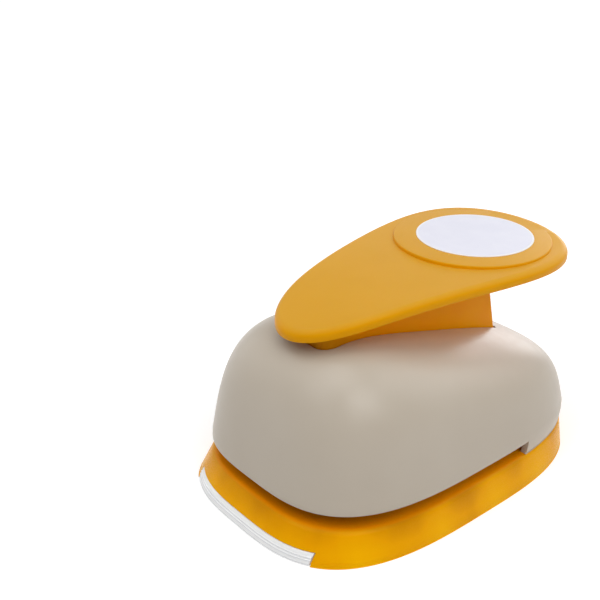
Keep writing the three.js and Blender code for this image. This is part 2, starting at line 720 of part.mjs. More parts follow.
function makePaddle() {
  const innerTop = (y) => paddleTop(y) - PADDLE_WALL;
  const rings = [paddleMiddle(paddleTop)];
  for (const share of TOP_RING_SHARES) rings.push(paddleRing(PADDLE_SHOULDER, paddleTop, share));
  for (let i = 0; i <= SHOULDER_STEPS; i += 1) {
    const turn = Math.PI / 2 * i / SHOULDER_STEPS;
    rings.push(paddleRing(PADDLE_SHOULDER * (1 - Math.sin(turn)),
      (y) => paddleTop(y) - PADDLE_SHOULDER * (1 - Math.cos(turn))));
  }
  rings.push(paddleRing(0, paddleBottom), paddleRing(PADDLE_WALL, paddleBottom));
  rings.push(paddleRing(PADDLE_WALL, (y) => paddleTop(y) - PADDLE_SHOULDER));
  rings.push(paddleRing(PADDLE_SHOULDER, innerTop));
  const innerShares = [...TOP_RING_SHARES].reverse();
  for (const share of innerShares) rings.push(paddleRing(PADDLE_SHOULDER, innerTop, share));
  rings.push(paddleMiddle(innerTop));
  const shell = solid(loft(rings));
  const padY = pivotY + PAD_REACH;
  const pad = solid(rod(PAD_RADIUS, 0, padY, padTop - PAD_STEP - PADDLE_WALL, padTop, BORE_STEPS));
  const padReach = solid(loft([
    paddleMiddle(() => padTop + OVERRUN), paddleRing(0, () => padTop + OVERRUN),
    paddleRing(PADDLE_SHOULDER, innerTop), paddleRing(PADDLE_SHOULDER, innerTop, TOP_RING_SHARES[1]),
    paddleRing(PADDLE_SHOULDER, innerTop, TOP_RING_SHARES[0]), paddleMiddle(innerTop)]));
  const bosses = paddleScrewPlaces.map(([x, y]) => solid(rod(bossRadius, x, y,
    flangeTop(y) + RUN_GAP, innerTop(y) + PADDLE_WALL / 2)));
  const bores = paddleScrewPlaces.map(([x, y]) => solid(rod(screwHoleRadius, x, y,
    flangeTop(y) - OVERRUN, paddleScrewTip(y) + RUN_GAP)));
  return without(joined(shell, pad.intersect(padReach), ...bosses), ...bores);
}

const paddleScrewPlaces = PADDLE_SCREW_PLACE_SHARES.flatMap(([across, along]) => (
  mirrored(across * PADDLE_HALF_WIDTH, paddleY + along * PADDLE_HALF_LENGTH)));

function flangeBottom(y) {
  return paddleBottom(y) + FLANGE_SET_UP;
}

function flangeTop(y) {
  return flangeBottom(y) + FLANGE_THICKNESS;
}

function paddleScrewTip(y) {
  return paddleTop(y) - PADDLE_WALL / 2;
}

function makePaddleScrew([x, y]) {
  const seat = flangeBottom(y) - RUN_GAP;
  return screw(x, y, seat, paddleScrewTip(y) - seat, 1);
}

function makeLabel() {
  return rod(LABEL_RADIUS, 0, pivotY + LABEL_REACH, padTop, padTop + LABEL_THICKNESS, BORE_STEPS);
}

// Lever arm: the web that stands in the housing's slot, and a flange that closes the paddle

const stemFront = pivotY + STEM_FRONT_SETBACK;
const stemRear = pivotY + STEM_REAR_REACH;

// The web seen from above, grown all round by a play; its two front corners are round
function stemOutline(play) {
  const corner = STEM_CORNER + play;
  const side = STEM_HALF_WIDTH + play;
  const front = stemFront - play;
  const points = [[side, stemRear + play], [-side, stemRear + play]];
  for (const [centre, from] of [[corner - side, Math.PI], [side - corner, 3 * Math.PI / 2]]) {
    for (let i = 0; i <= SHOULDER_STEPS; i += 1) {
      const turn = from + Math.PI / 2 * i / SHOULDER_STEPS;
      points.push([centre + corner * Math.cos(turn), front + corner + corner * Math.sin(turn)]);
    }
  }
  return points;
}

// The lowest that the web's rear corner may lie and still clear the guide plate when pressed
function stemRearFoot() {
  const lowest = guideTop + STEM_FLOOR_GAP - pivotZ + STEM_REAR_REACH * Math.sin(pressAngle);
  return pivotZ + lowest / Math.cos(pressAngle);
}

function stemProfile() {
  const middle = (y) => flangeBottom(y) + FLANGE_THICKNESS / 2;
  const rearFoot = stemRearFoot();
  const rearTop = stemRear - STEM_REAR_LEAN_SHARE * (middle(stemRear) - rearFoot);
  const points = [];
  const steps = SHOULDER_STEPS * SHOULDER_STEPS;
  for (let i = 0; i <= steps; i += 1) {
    const y = rearTop + (stemFront - rearTop) * i / steps;
    points.push([y, middle(y)]);
  }
  const eye = eyeProfile(EYE_RADIUS, Math.PI / 2, 3 * Math.PI / 2);
  points.push([stemFront, eye[0][1]], ...eye);
  for (let i = 0; i <= ROUND_STEPS / 2; i += 1) {
    const turn = -3 * Math.PI / 4 + Math.PI / 2 * i / (ROUND_STEPS / 2);
    points.push([NOSE_RADIUS * Math.cos(turn), noseHeight + NOSE_RADIUS * Math.sin(turn)]);
  }
  points.push([pivotY + STEM_NECK_REACH, pivotZ - STEM_NECK_DROP], [stemRear, rearFoot]);
  return points;
}

// The room that the paddle's side wall takes round the flange
function paddleWallRoom() {
  const under = (y) => paddleBottom(y) - RUN_GAP;
  const room = (inset, low, high) => solid(loft([
    paddleMiddle(high), paddleRing(inset, high), paddleRing(inset, low), paddleMiddle(low)]));
  const core = room(PADDLE_WALL + FLANGE_PLAY, (y) => under(y) - OVERRUN, (y) => paddleTop(y) + OVERRUN);
  return without(room(-OVERRUN, under, paddleTop), core);
}

function makeLeverArm() {
  const stem = solid(sideways(stemProfile(), -STEM_HALF_WIDTH, STEM_HALF_WIDTH));
  const eyeTop = pivotZ + EYE_RADIUS;
  const frontEnd = block(-STEM_HALF_WIDTH - OVERRUN, STEM_HALF_WIDTH + OVERRUN, stemFront - OVERRUN,
    stemFront + STEM_CORNER, eyeTop, padTop);
  const roundedEnd = prism(stemOutline(0), eyeTop - OVERRUN, padTop + OVERRUN);
  const rounding = without(solid(frontEnd), solid(roundedEnd));
  const web = without(stem, rounding, paddleWallRoom());
  const inset = PADDLE_WALL + FLANGE_PLAY;
  const rings = [paddleMiddle(flangeTop)];
  for (const share of TOP_RING_SHARES) rings.push(paddleRing(inset, flangeTop, share));
  rings.push(paddleRing(inset, flangeTop), paddleRing(inset, flangeBottom));
  for (const share of [...TOP_RING_SHARES].reverse()) rings.push(paddleRing(inset, flangeBottom, share));
  rings.push(paddleMiddle(flangeBottom));
  const pinBore = turnedAlongX([
    [0, STEM_HALF_WIDTH + OVERRUN], [PIN_RADIUS + RUN_GAP, STEM_HALF_WIDTH + OVERRUN],
    [PIN_RADIUS + RUN_GAP, -STEM_HALF_WIDTH - OVERRUN], [0, -STEM_HALF_WIDTH - OVERRUN],
  ], pivotY, pivotZ);
  const bores = paddleScrewPlaces.map(([x, y]) => solid(rod(screwHoleRadius, x, y,
    flangeBottom(y) - OVERRUN, flangeTop(y) + OVERRUN)));
  return without(joined(web, solid(loft(rings))), solid(pinBore), ...bores);
}

// Housing: a domed shell whose top falls towards the rear

function domeRing(t, inset) {
  const middle = (edge.front + edge.rear) / 2;
  const halfLength = (edge.rear - edge.front) / 2;
  const ring = [];
  for (let i = 0; i < PLAN_STEPS; i += 1) {
    const turn = 2 * Math.PI * i / PLAN_STEPS;
    const endwise = Math.sin(turn) ** 2;
    const endPower = Math.sin(turn) < 0 ? DOME_FRONT_POWER : DOME_REAR_POWER;
    const power = DOME_SIDE_POWER + (endPower - DOME_SIDE_POWER) * endwise;
    const scale = (1 - t ** power) ** (1 / power) * (1 - DOME_DRAW_IN_SHARE * t);
    const [flatX, flatY] = ovalPoint(edge, turn, inset);
    const x = scale * flatX;
    const y = middle + DOME_LEAN_SHARE * domeHeight * t + scale * (flatY - middle);
    const along = (y - middle) / halfLength;
    const fall = 1 - DOME_FALL_SHARE * along - DOME_ROUND_SHARE * along ** 2;
    ring.push(new THREE.Vector3(x, y, edgeHeight + t * (domeHeight * fall - inset)));
  }
  return t < 1 ? ring : [ring[0]];
}

function domeRings(count, inset) {
  const rings = [];
  for (let i = count; i >= 0; i -= 1) {
    const t = Math.sin(Math.PI / 2 * i / count);
    rings.push(i === count ? domeRing(1, inset) : domeRing(t, inset));
  }
  return rings;
}

function makeHousing() {
  const outside = [...domeRings(DOME_RINGS, 0), ovalRing(table, 0, TABLE_HEIGHT)];
  const innerDome = domeRings(DOME_INNER_RINGS, HOUSING_WALL).reverse();
  const inside = [ovalRing(table, HOUSING_WALL, TABLE_HEIGHT), ...innerDome];
  const shell = solid(loft([...outside, ...inside]));
  const mouth = block(-foot.halfWidth, foot.halfWidth, foot.front, notchY, 0, edgeHeight);
  const slot = prism(stemOutline(HOUSING_SLOT_PLAY), barBottom, paddleZ);
  const bosses = housingScrewPlaces.map(([x, y]) => solid(rod(bossRadius, x, y,
    TABLE_HEIGHT, TABLE_HEIGHT + BOSS_HEIGHT)));
  const bores = housingScrewPlaces.map(([x, y]) => solid(rod(screwHoleRadius, x, y,
    0, TABLE_HEIGHT + BOSS_HEIGHT - OVERRUN)));
  return without(joined(without(shell, solid(mouth), solid(slot)), ...bosses), ...bores);
}

// Finishes

const amber = { color: 0xe8a000, roughness: 0.3 };
const amberTop = { color: 0xdca541, roughness: 0.5 };
const amberStem = { color: 0xe1960f, roughness: 0.4 };
const stone = { color: 0xb9ac98, roughness: 0.5 };
const clear = { color: 0xe8eef2, roughness: 0.1, transparent: true, opacity: 0.4 };
const labelWhite = { color: 0xe6e8f5, roughness: 0.45 };
const steel = { color: 0xb4b6ba, roughness: 0.35, metalness: 1 };
const zinc = { color: 0xa8a9aa, roughness: 0.45, metalness: 0.9 };
const screwSteel = { color: 0x8f9297, roughness: 0.4, metalness: 1 };

const punch = new THREE.Group();
punch.position.y = -(foot.front + paddleY + PADDLE_HALF_LENGTH) / 2;

function add(name, shape, finish) {
  const mesh = new THREE.Mesh(surface(shape), new THREE.MeshStandardMaterial(finish));
  mesh.name = name;
  punch.add(mesh);
}

add('base', makeBase(), amber);
add('housing', makeHousing(), stone);
add('shape_tray', makeTray(), clear);
add('die_plate', makeDiePlate(), steel);
add('spacer_plate', makeSpacer(), steel);
add('guide_plate', makeGuidePlate(), zinc);
rivetPlaces.forEach((place, i) => add(`frame_rivet_${i + 1}`, makeRivet(place), screwSteel));
add('round_punch', makePunch(), steel);
add('crosshead', makeCrosshead(), zinc);
hubScrewPlaces.forEach(([x, y], i) => (
  add(`punch_screw_${i + 1}`, screw(x, y, barBottom, HUB_HEIGHT + SCREW_BITE, -1), screwSteel)));
mirrored(postX, 0).forEach((place, i) => add(`guide_post_${i + 1}`, makePost(place), steel));
mirrored(postX, 0).forEach((place, i) => add(`return_spring_${i + 1}`, makeSpring(place), screwSteel));
add('pivot_bracket', makeBracket(), zinc);
bracketScrewPlaces.forEach(([x, y], i) => (
  add(`bracket_screw_${i + 1}`, screw(x, y, guideTop + EAR_WALL, EAR_WALL + SCREW_BITE, -1), screwSteel)));
add('pivot_pin', makePivotPin(), steel);
add('pivot_clip', makeClip(), screwSteel);
add('lever_arm', makeLeverArm(), amberStem);
add('paddle', makePaddle(), amberTop);
paddleScrewPlaces.forEach((place, i) => add(`paddle_screw_${i + 1}`, makePaddleScrew(place), screwSteel));
add('top_label', makeLabel(), labelWhite);
dieScrewPlaces.forEach(([x, y], i) => (
  add(`die_screw_${i + 1}`, screw(x, y, SCREW_SEAT, dieBottom - SCREW_SEAT + SCREW_BITE, 1), screwSteel)));
housingScrewPlaces.forEach(([x, y], i) => (
  add(`housing_screw_${i + 1}`, screw(x, y, SCREW_SEAT, TABLE_HEIGHT + BOSS_HEIGHT / 2 - SCREW_SEAT, 1),
    screwSteel)));

console.log(`least gap of a return spring to itself: ${leastSpringGap().toFixed(2)} mm`);
console.log(`stroke of the punch: ${stroke.toFixed(3)} mm`);

export default punch;
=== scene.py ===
import json
import math

import bmesh
import bpy
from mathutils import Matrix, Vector


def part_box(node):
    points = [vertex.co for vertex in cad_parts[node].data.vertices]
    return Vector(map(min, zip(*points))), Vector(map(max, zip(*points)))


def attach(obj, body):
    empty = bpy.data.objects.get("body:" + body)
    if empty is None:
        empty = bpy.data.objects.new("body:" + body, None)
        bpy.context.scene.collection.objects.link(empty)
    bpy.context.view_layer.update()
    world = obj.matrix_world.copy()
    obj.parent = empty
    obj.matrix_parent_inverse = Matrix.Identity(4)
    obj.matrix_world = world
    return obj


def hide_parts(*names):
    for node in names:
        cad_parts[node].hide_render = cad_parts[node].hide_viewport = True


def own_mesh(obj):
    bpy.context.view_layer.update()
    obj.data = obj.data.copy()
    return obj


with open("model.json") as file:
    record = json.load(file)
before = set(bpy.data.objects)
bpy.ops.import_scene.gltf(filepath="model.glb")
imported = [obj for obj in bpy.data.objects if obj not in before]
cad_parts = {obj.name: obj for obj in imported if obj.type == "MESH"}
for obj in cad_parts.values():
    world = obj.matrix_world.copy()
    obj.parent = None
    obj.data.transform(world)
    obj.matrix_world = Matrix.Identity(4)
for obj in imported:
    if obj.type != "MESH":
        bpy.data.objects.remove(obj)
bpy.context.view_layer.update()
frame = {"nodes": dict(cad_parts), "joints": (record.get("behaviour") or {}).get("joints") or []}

MM = 0.001

# Camera, as the photograph was taken

CAMERA_PLACE = (0.2131, -0.22115, 0.2077)
CAMERA_TURN = (math.radians(64.87), 0, math.radians(50.28))
CAMERA_LENS = 55.98
CAMERA_SENSOR = 36
CAMERA_CLIP = 0.01

# Floor: how far under the foot it lies, and how much white it adds near the object and far from it

FLOOR_DROP = 0.05 * MM
FLOOR_SIZE = 6
FLOOR_WHITE = (0.8, 0.8, 0.8, 1)
FLOOR_GLOW_NEAR = 0.42
FLOOR_GLOW_FAR = 0.8
FLOOR_NEAR_REACH = 0.12
FLOOR_FAR_REACH = 0.5

# World: how strongly it lights the object, and how strongly the camera and glossy faces see it

WORLD_LIGHT = 0.245
WORLD_SEEN = 1.0

# Lamps, each with its name, place, size and power, and the point that they all face

LAMPS = (
    ("overhead", (0, -0.1, 1.0), 0.6, 2.34),
    ("right_high", (0.65, -0.15, 0.7), 0.6, 2.88),
    ("rear_right", (0.35, 0.65, 0.6), 0.6, 1.39),
    ("rear_low", (-0.33, 0.9, 0.2), 0.4, 1.32),
    ("left_fill", (-0.8, -0.3, 0.35), 0.6, 0.99),
    ("front_high", (-0.1, -0.55, 0.75), 0.6, 1.51),
)
LAMP_AIM = (0, 0, 0.03)

# Sizes that the frame gives

base_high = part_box("base")[1]
housing_low, housing_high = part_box("housing")
plate_low, plate_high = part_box("die_plate")
guide_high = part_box("guide_plate")[1]
paddle_low, paddle_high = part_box("paddle")
label_low, label_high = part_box("top_label")
tray_low, tray_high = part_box("shape_tray")
press = next(joint for joint in frame["joints"] if joint["name"] == "lever_press")

TABLE_HEIGHT = base_high.z
AXIS_Y = (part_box("round_punch")[0].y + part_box("round_punch")[1].y) / 2
PIVOT_Y, PIVOT_Z = press["pos_m"][1], press["pos_m"][2]
RUN_GAP = 0.3 * MM
PAST = 2 * MM
SAME_POINT = 0.002 * MM

# Base

TABLE_EDGE_RADIUS = 1.7 * MM
HOUSING_OVERHANG = 0.8 * MM
BASE_WALL = 2.4 * MM
LEDGE_WIDTH = 3.5 * MM
LEDGE_THICKNESS = 1.5 * MM
COLLAR_WALL = 2 * MM
RIB_WALL = 2.2 * MM
RIB_FOOT_GAP = 1.2 * MM
WALL_RIB_SPACING = 28.5 * MM
CUTOUT_HEIGHT = 4.3 * MM
CHANNEL_PLAY = 0.4 * MM
PILLAR_RADIUS = 3.8 * MM
PILLAR_RIM = 0.9 * MM
PILLAR_BORE = 1.55 * MM
SCREW_SEAT = 3.2 * MM
FOOT_EDGE = 0.3 * MM
POCKET_LIP = 0.35 * MM
POCKET_MARGIN = 2 * MM
TABLE_MARGIN = 4 * MM
DECK_CORNER = 1 * MM
SKIRT_CUTS = (8 * MM, 6.5 * MM, 5 * MM, 3.5 * MM, 2 * MM, 1.2 * MM)
INNER_CUT_SHARES = (0.25, 0.5, 0.75)
REAR_RIB_SHARE = 0.82

# Housing

HOUSING_WALL = 2.4 * MM
HOUSING_MOUTH = 6 * MM
HOUSING_COVER = 7.96 * MM
NOTCH_BEHIND_HOLE = 2.5 * MM
SLOT_PLAY = 0.6 * MM
EDGE_ROUNDING = 0.45 * MM
BOSS_RADIUS = 2.9 * MM
WALL_CUT_SHARES = (0.7, 0.4, 0.15)
SEAM_MATCH = 0.01 * MM
SHARP_SEAM = 1.0

# Lever arm

STEM_HALF_WIDTH = 11.2 * MM
STEM_FRONT_SETBACK = 2.2 * MM
STEM_FRONT_CORNER = 5 * MM
STEM_REAR_CORNER = 1.6 * MM
STEM_REAR_REACH = 91.2 * MM
STEM_NECK_REACH = 54 * MM
STEM_NECK_DROP = 0.5 * MM
STEM_FLOOR_GAP = 0.6 * MM
EYE_RADIUS = 6.5 * MM
NOSE_RADIUS = 6 * MM
NOSE_DROP = 4.7 * MM
PIN_BORE = 3.3 * MM
FLANGE_THICKNESS = 1.4 * MM
FLANGE_SET_UP = 0.3 * MM
FLANGE_PLAY = 0.7 * MM

# Paddle

PADDLE_HALF_WIDTH = 30.75 * MM
PADDLE_MIDDLE_RISE = 29.8 * MM
PADDLE_REAR_RISE = 1.8 * MM
PADDLE_ARCH = 3.2 * MM
PADDLE_REAR_HOLD = 3.2 * MM
PADDLE_DEPTH = 4 * MM
PADDLE_SHOULDER = 2.3 * MM
PADDLE_WALL = 1.6 * MM
PADDLE_RIM = 0.35 * MM
PAD_RADIUS = 29.8 * MM
PAD_REACH = 85.7 * MM
PAD_EDGE = 0.55 * MM
PAD_FLARE = 0.15 * MM
LABEL_RIM = 0.12 * MM

# Tray

TRAY_FLOOR = 1.4 * MM
TRAY_LIP_WALL = 1.8 * MM
TRAY_REAR_WALL = 1.6 * MM
TRAY_REAR_ROUNDING = 0.25 * MM
TRAY_SIDE_WALL = 1.2 * MM
TRAY_RIDGE = 0.22 * MM
TRAY_RIDGE_HALF = 0.14 * MM
TRAY_RIDGE_FLANK = 0.1 * MM
TRAY_RIDGES = (1.85 * MM, 2.65 * MM)

# Springs and screws

SPRING_WIRE = 0.8 * MM
SPRING_COILS = 6
SPRING_WIRE_SIDES = 10
SPRING_TURN_STEPS = 28
SCREW_HEAD = 2.6 * MM
SCREW_HEAD_HEIGHT = 1.6 * MM
SCREW_SHANK = 1.25 * MM
SCREW_LENGTH = 6 * MM
SCREW_CROWN_SHARES = ((1, 0.08), (1, 0.35), (0.94, 0.62), (0.76, 0.86), (0.46, 1))
RECESS_REACH = 1.45 * MM
RECESS_BLADE = 0.35 * MM
RECESS_DEPTH = 1.05 * MM

# Powers of the plan outlines and of the housing's walls, and shares of the sizes that they follow

FOOT_FRONT_POWER = 3.14
EDGE_FRONT_POWER = 3.2
REAR_POWER = 3.06
DOME_FRONT_POWER = 3.79
DOME_REAR_POWER = 5.48
DOME_SIDE_POWER = 3.17
STEM_LEAN_SHARE = 0.25
DOME_DRAW_IN_SHARE = 0.11
DOME_LEAN_SHARE = 0.06
DOME_FALL_SHARE = 0.483
DOME_ROUND_SHARE = 0.02
PADDLE_PLAN_SHARES = (1, 0.44, 0.39, 0.01)

# How finely surfaces are cut

PLAN_TURNS = 192
PADDLE_TURNS = 192
ROUND_TURNS = 48
DISC_TURNS = 160
SCREW_TURNS = 40
ARC_STEPS = 6
EDGE_STEPS = 3
LABEL_STEPS = 4
SHOULDER_STEPS = 8
SWEEP_STEPS = 24
DOME_STEPS = 44
DOME_INNER_STEPS = 24
PADDLE_STEPS = 16
FLANGE_STEPS = 10
STEM_FRONT_STEPS = 10
STEM_REAR_STEPS = 5

# Largest angles between faces that are shaded as one surface, in degrees

SMOOTH_ANGLE = 35
PADDLE_SMOOTH_ANGLE = 28
SPRING_SMOOTH_ANGLE = 60


def oval(half_width, front, rear, front_power):
    return {"half_width": half_width, "front": front, "rear": rear, "front_power": front_power}


# The tray's lip lies in the skirt's leaning face, just above the foot, whose own front is cut out
lip_share = RUN_GAP / TABLE_HEIGHT
foot_front = (tray_low.y - lip_share * housing_low.y) / (1 - lip_share)
foot = oval(base_high.x, foot_front, base_high.y, FOOT_FRONT_POWER)
edge = oval(housing_high.x, housing_low.y, base_high.y, EDGE_FRONT_POWER)
table = oval(housing_high.x - HOUSING_OVERHANG, housing_low.y, base_high.y, EDGE_FRONT_POWER)
plate = oval(plate_high.x, plate_low.y, plate_high.y, EDGE_FRONT_POWER)
edge_height = TABLE_HEIGHT + HOUSING_MOUTH
dome_height = PIVOT_Z + HOUSING_COVER - edge_height
die_bottom = plate_low.z
hole_radius = tray_high.x
channel_half = hole_radius + CHANNEL_PLAY
notch_y = AXIS_Y + hole_radius + NOTCH_BEHIND_HOLE
paddle_middle_y = (paddle_low.y + paddle_high.y) / 2
paddle_half_length = (paddle_high.y - paddle_low.y) / 2
paddle_middle_z = PIVOT_Z + PADDLE_MIDDLE_RISE
pad_top = label_low.z
label_y = (label_low.y + label_high.y) / 2
stem_front = PIVOT_Y + STEM_FRONT_SETBACK
stem_rear = PIVOT_Y + STEM_REAR_REACH


# Tools for modelling

def deselect():
    if bpy.context.object and bpy.context.object.mode != "OBJECT":
        bpy.ops.object.mode_set(mode="OBJECT")
    bpy.ops.object.select_all(action="DESELECT")


def choose(piece):
    deselect()
    piece.select_set(True)
    bpy.context.view_layer.objects.active = piece


def added(name):
    piece = bpy.context.object
    piece.name = name
    return piece


def settled(piece):
    choose(piece)
    bpy.ops.object.transform_apply(location=True, rotation=True, scale=True)
    return piece


def pick(piece, kind, rule):
    bpy.ops.mesh.select_mode(type=kind)
    bpy.ops.mesh.select_all(action="DESELECT")
    mesh = bmesh.from_edit_mesh(piece.data)
    for item in {"FACE": mesh.faces, "EDGE": mesh.edges, "VERT": mesh.verts}[kind]:
        if rule(item):
            item.select_set(True)
    bmesh.update_edit_mesh(piece.data)


def applied(piece, kind, **settings):
    choose(piece)
    modifier = piece.modifiers.new(kind.lower(), kind)
    for name, value in settings.items():
        setattr(modifier, name, value)
    bpy.ops.object.modifier_apply(modifier=modifier.name)
    return piece


def cut(piece, cutter, operation="DIFFERENCE"):
    applied(piece, "BOOLEAN", object=cutter, operation=operation, solver="EXACT")
    bpy.data.objects.remove(cutter)
    return piece


def combined(piece, *others):
    choose(piece)
    for other in others:
        other.select_set(True)
    bpy.ops.object.join()
    return piece


def outward(piece):
    choose(piece)
    bpy.ops.object.mode_set(mode="EDIT")
    bpy.ops.mesh.select_all(action="SELECT")
    bpy.ops.mesh.remove_doubles(threshold=SAME_POINT)
    bpy.ops.mesh.normals_make_consistent(inside=False)
    bpy.ops.object.mode_set(mode="OBJECT")
    return piece


def smooth(piece, degrees=SMOOTH_ANGLE):
    choose(piece)
    bpy.ops.object.shade_smooth_by_angle(angle=math.radians(degrees))
    return piece


# Lays the selected loop on a ring, and says at which turn each of its points then is
def laid(piece, ring, turns):
    mesh = bmesh.from_edit_mesh(piece.data)
    places = {}
    for vertex in [vertex for vertex in mesh.verts if vertex.select]:
        turn = turns[tuple(vertex.co)]
        vertex.co = ring(turn)
        places[tuple(vertex.co)] = turn
    bmesh.update_edit_mesh(piece.data)
    return places


# A circle laid on the first ring, and extruded and laid on each of the others in turn
def drawn_over(name, rings, count):
    deselect()
    bpy.ops.mesh.primitive_circle_add(vertices=count, radius=1)
    piece = added(name)
    bpy.ops.object.mode_set(mode="EDIT")
    bpy.ops.mesh.select_mode(type="VERT")
    bpy.ops.mesh.select_all(action="SELECT")
    mesh = bmesh.from_edit_mesh(piece.data)
    turns = {tuple(vertex.co): math.atan2(vertex.co.y, vertex.co.x) for vertex in mesh.verts}
    turns = laid(piece, rings[0], turns)
    for ring in rings[1:]:
        bpy.ops.mesh.extrude_region_move()
        turns = laid(piece, ring, turns)
    return piece


def drawn_to_point(piece, point):
    bpy.ops.mesh.select_mode(type="VERT")
    bpy.ops.mesh.extrude_region_move()
    bpy.ops.mesh.merge(type="CENTER")
    mesh = bmesh.from_edit_mesh(piece.data)
    next(vertex for vertex in mesh.verts if vertex.select).co = point
    bmesh.update_edit_mesh(piece.data)


# A closed skin over rings, from a point at its top to a point below
def lofted(name, top, rings, bottom, count=PLAN_TURNS):
    piece = drawn_over(name, rings, count)
    drawn_to_point(piece, bottom)
    pick(piece, "EDGE", lambda seam: seam.is_boundary)
    drawn_to_point(piece, top)
    return outward(piece)


# A closed band whose section runs through the rings and back to the first
def banded(name, rings, count=PLAN_TURNS):
    piece = drawn_over(name, rings, count)
    pick(piece, "EDGE", lambda seam: seam.is_boundary)
    bpy.ops.mesh.bridge_edge_loops()
    return outward(piece)


def circle(radius, z):
    return lambda turn: (radius * math.cos(turn), radius * math.sin(turn), z)


# A turned body on the upright axis; the profile is a row of (radius, height) from top to bottom
def turned(name, top, profile, bottom, count=ROUND_TURNS):
    return lofted(name, (0, 0, top), [circle(radius, z) for radius, z in profile], (0, 0, bottom), count)


def moved(piece, x, y, z=0.0):
    piece.location = (x, y, z)
    return settled(piece)


def copied(piece, name):
    copy = piece.copy()
    copy.data = piece.data.copy()
    copy.name = name
    bpy.context.scene.collection.objects.link(copy)
    return copy


# One copy of a piece at each place, and the first taken away
def repeated(piece, places):
    copies = [moved(copied(piece, piece.name), x, y) for x, y in places]
    bpy.data.objects.remove(piece)
    return copies


def block(name, x0, x1, y0, y1, z0, z1, rounding=0.0):
    deselect()
    centre = ((x0 + x1) / 2, (y0 + y1) / 2, (z0 + z1) / 2)
    bpy.ops.mesh.primitive_cube_add(size=1, location=centre, scale=(x1 - x0, y1 - y0, z1 - z0))
    piece = settled(added(name))
    if rounding:
        applied(piece, "BEVEL", width=rounding, segments=2, limit_method="NONE")
    return piece


# A flat outline drawn in the plane of Y and Z, and pushed out along X
def drawn_sideways(name, outline, x0, x1):
    deselect()
    bpy.ops.mesh.primitive_circle_add(vertices=len(outline), radius=1, fill_type="NGON")
    piece = added(name)
    for vertex, (y, z) in zip(piece.data.vertices, outline):
        vertex.co = (x0, y, z)
    bpy.ops.object.mode_set(mode="EDIT")
    bpy.ops.mesh.select_all(action="SELECT")
    bpy.ops.mesh.extrude_region_move(TRANSFORM_OT_translate={"value": (x1 - x0, 0, 0)})
    return outward(piece)


# An arc of a section, as pairs of how far in and how far down, from flat to upright
def arc(radius, steps=ARC_STEPS):
    pairs = []
    for i in range(steps + 1):
        turn = math.pi / 2 * i / steps
        pairs.append((radius * (1 - math.sin(turn)), radius * (1 - math.cos(turn))))
    return pairs


# Plan outlines

def signed_power(value, power):
    return math.copysign(abs(value) ** power, value)


def oval_point(shape, turn, inset=0.0):
    middle = (shape["front"] + shape["rear"]) / 2
    half_length = (shape["rear"] - shape["front"]) / 2
    power = 2 / (shape["front_power"] if math.sin(turn) < 0 else REAR_POWER)
    x = (shape["half_width"] - inset) * signed_power(math.cos(turn), power)
    y = middle + (half_length - inset) * signed_power(math.sin(turn), power)
    return x, y


def oval_ring(shape, inset, z):
    return lambda turn: (*oval_point(shape, turn, inset), z)


def skirt_ring(inset, z):
    def place(turn):
        low = oval_point(foot, turn, inset)
        high = oval_point(table, turn, inset)
        share = z / TABLE_HEIGHT
        return (low[0] + (high[0] - low[0]) * share, low[1] + (high[1] - low[1]) * share, z)
    return place


def middle_point(shape, z):
    return 0, (shape["front"] + shape["rear"]) / 2, z


# Base

def screw_places(prefix, count):
    places = []
    for i in range(1, count + 1):
        low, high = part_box(f"{prefix}_{i}")
        places.append(((low.x + high.x) / 2, (low.y + high.y) / 2))
    return places


def pillars(top, places):
    foot_ring = PILLAR_RADIUS - PILLAR_RIM
    profile = [
        (PILLAR_RADIUS, top),
        (PILLAR_RADIUS, RIB_FOOT_GAP + RUN_GAP),
        (PILLAR_RADIUS - RUN_GAP, RIB_FOOT_GAP),
        (foot_ring, RIB_FOOT_GAP),
        (foot_ring, SCREW_SEAT),
        (PILLAR_BORE, SCREW_SEAT),
        (PILLAR_BORE, top),
    ]
    return repeated(banded("pillar", [circle(radius, z) for radius, z in profile], ROUND_TURNS), places)


# Short ribs from the tray's channel out to the skirt; the amber finish paints faint upright bands of shade
# on the skirt where they stand behind it
def wall_ribs(deck_bottom):
    room = lofted("room", middle_point(table, TABLE_HEIGHT),
                  [skirt_ring(BASE_WALL / 2, TABLE_HEIGHT), skirt_ring(BASE_WALL / 2, 0)],
                  middle_point(foot, 0))
    pocket_top = TABLE_HEIGHT + PAST
    pocket = lofted("pocket", middle_point(plate, pocket_top),
                    [oval_ring(plate, 0, pocket_top), oval_ring(plate, 0, die_bottom)],
                    middle_point(plate, die_bottom))
    ribs = []
    for step in (-1, 0, 1):
        y = AXIS_Y + step * WALL_RIB_SPACING
        for side in (-1, 1):
            x0, x1 = sorted((side * (channel_half + RIB_WALL / 2), side * foot["half_width"]))
            rib = block("wall_rib", x0, x1, y - RIB_WALL / 2, y + RIB_WALL / 2,
                        RIB_FOOT_GAP, deck_bottom + BASE_WALL / 2)
            cut(rib, copied(room, "room_copy"), "INTERSECT")
            ribs.append(cut(rib, copied(pocket, "pocket_copy")))
    bpy.data.objects.remove(room)
    bpy.data.objects.remove(pocket)
    return ribs


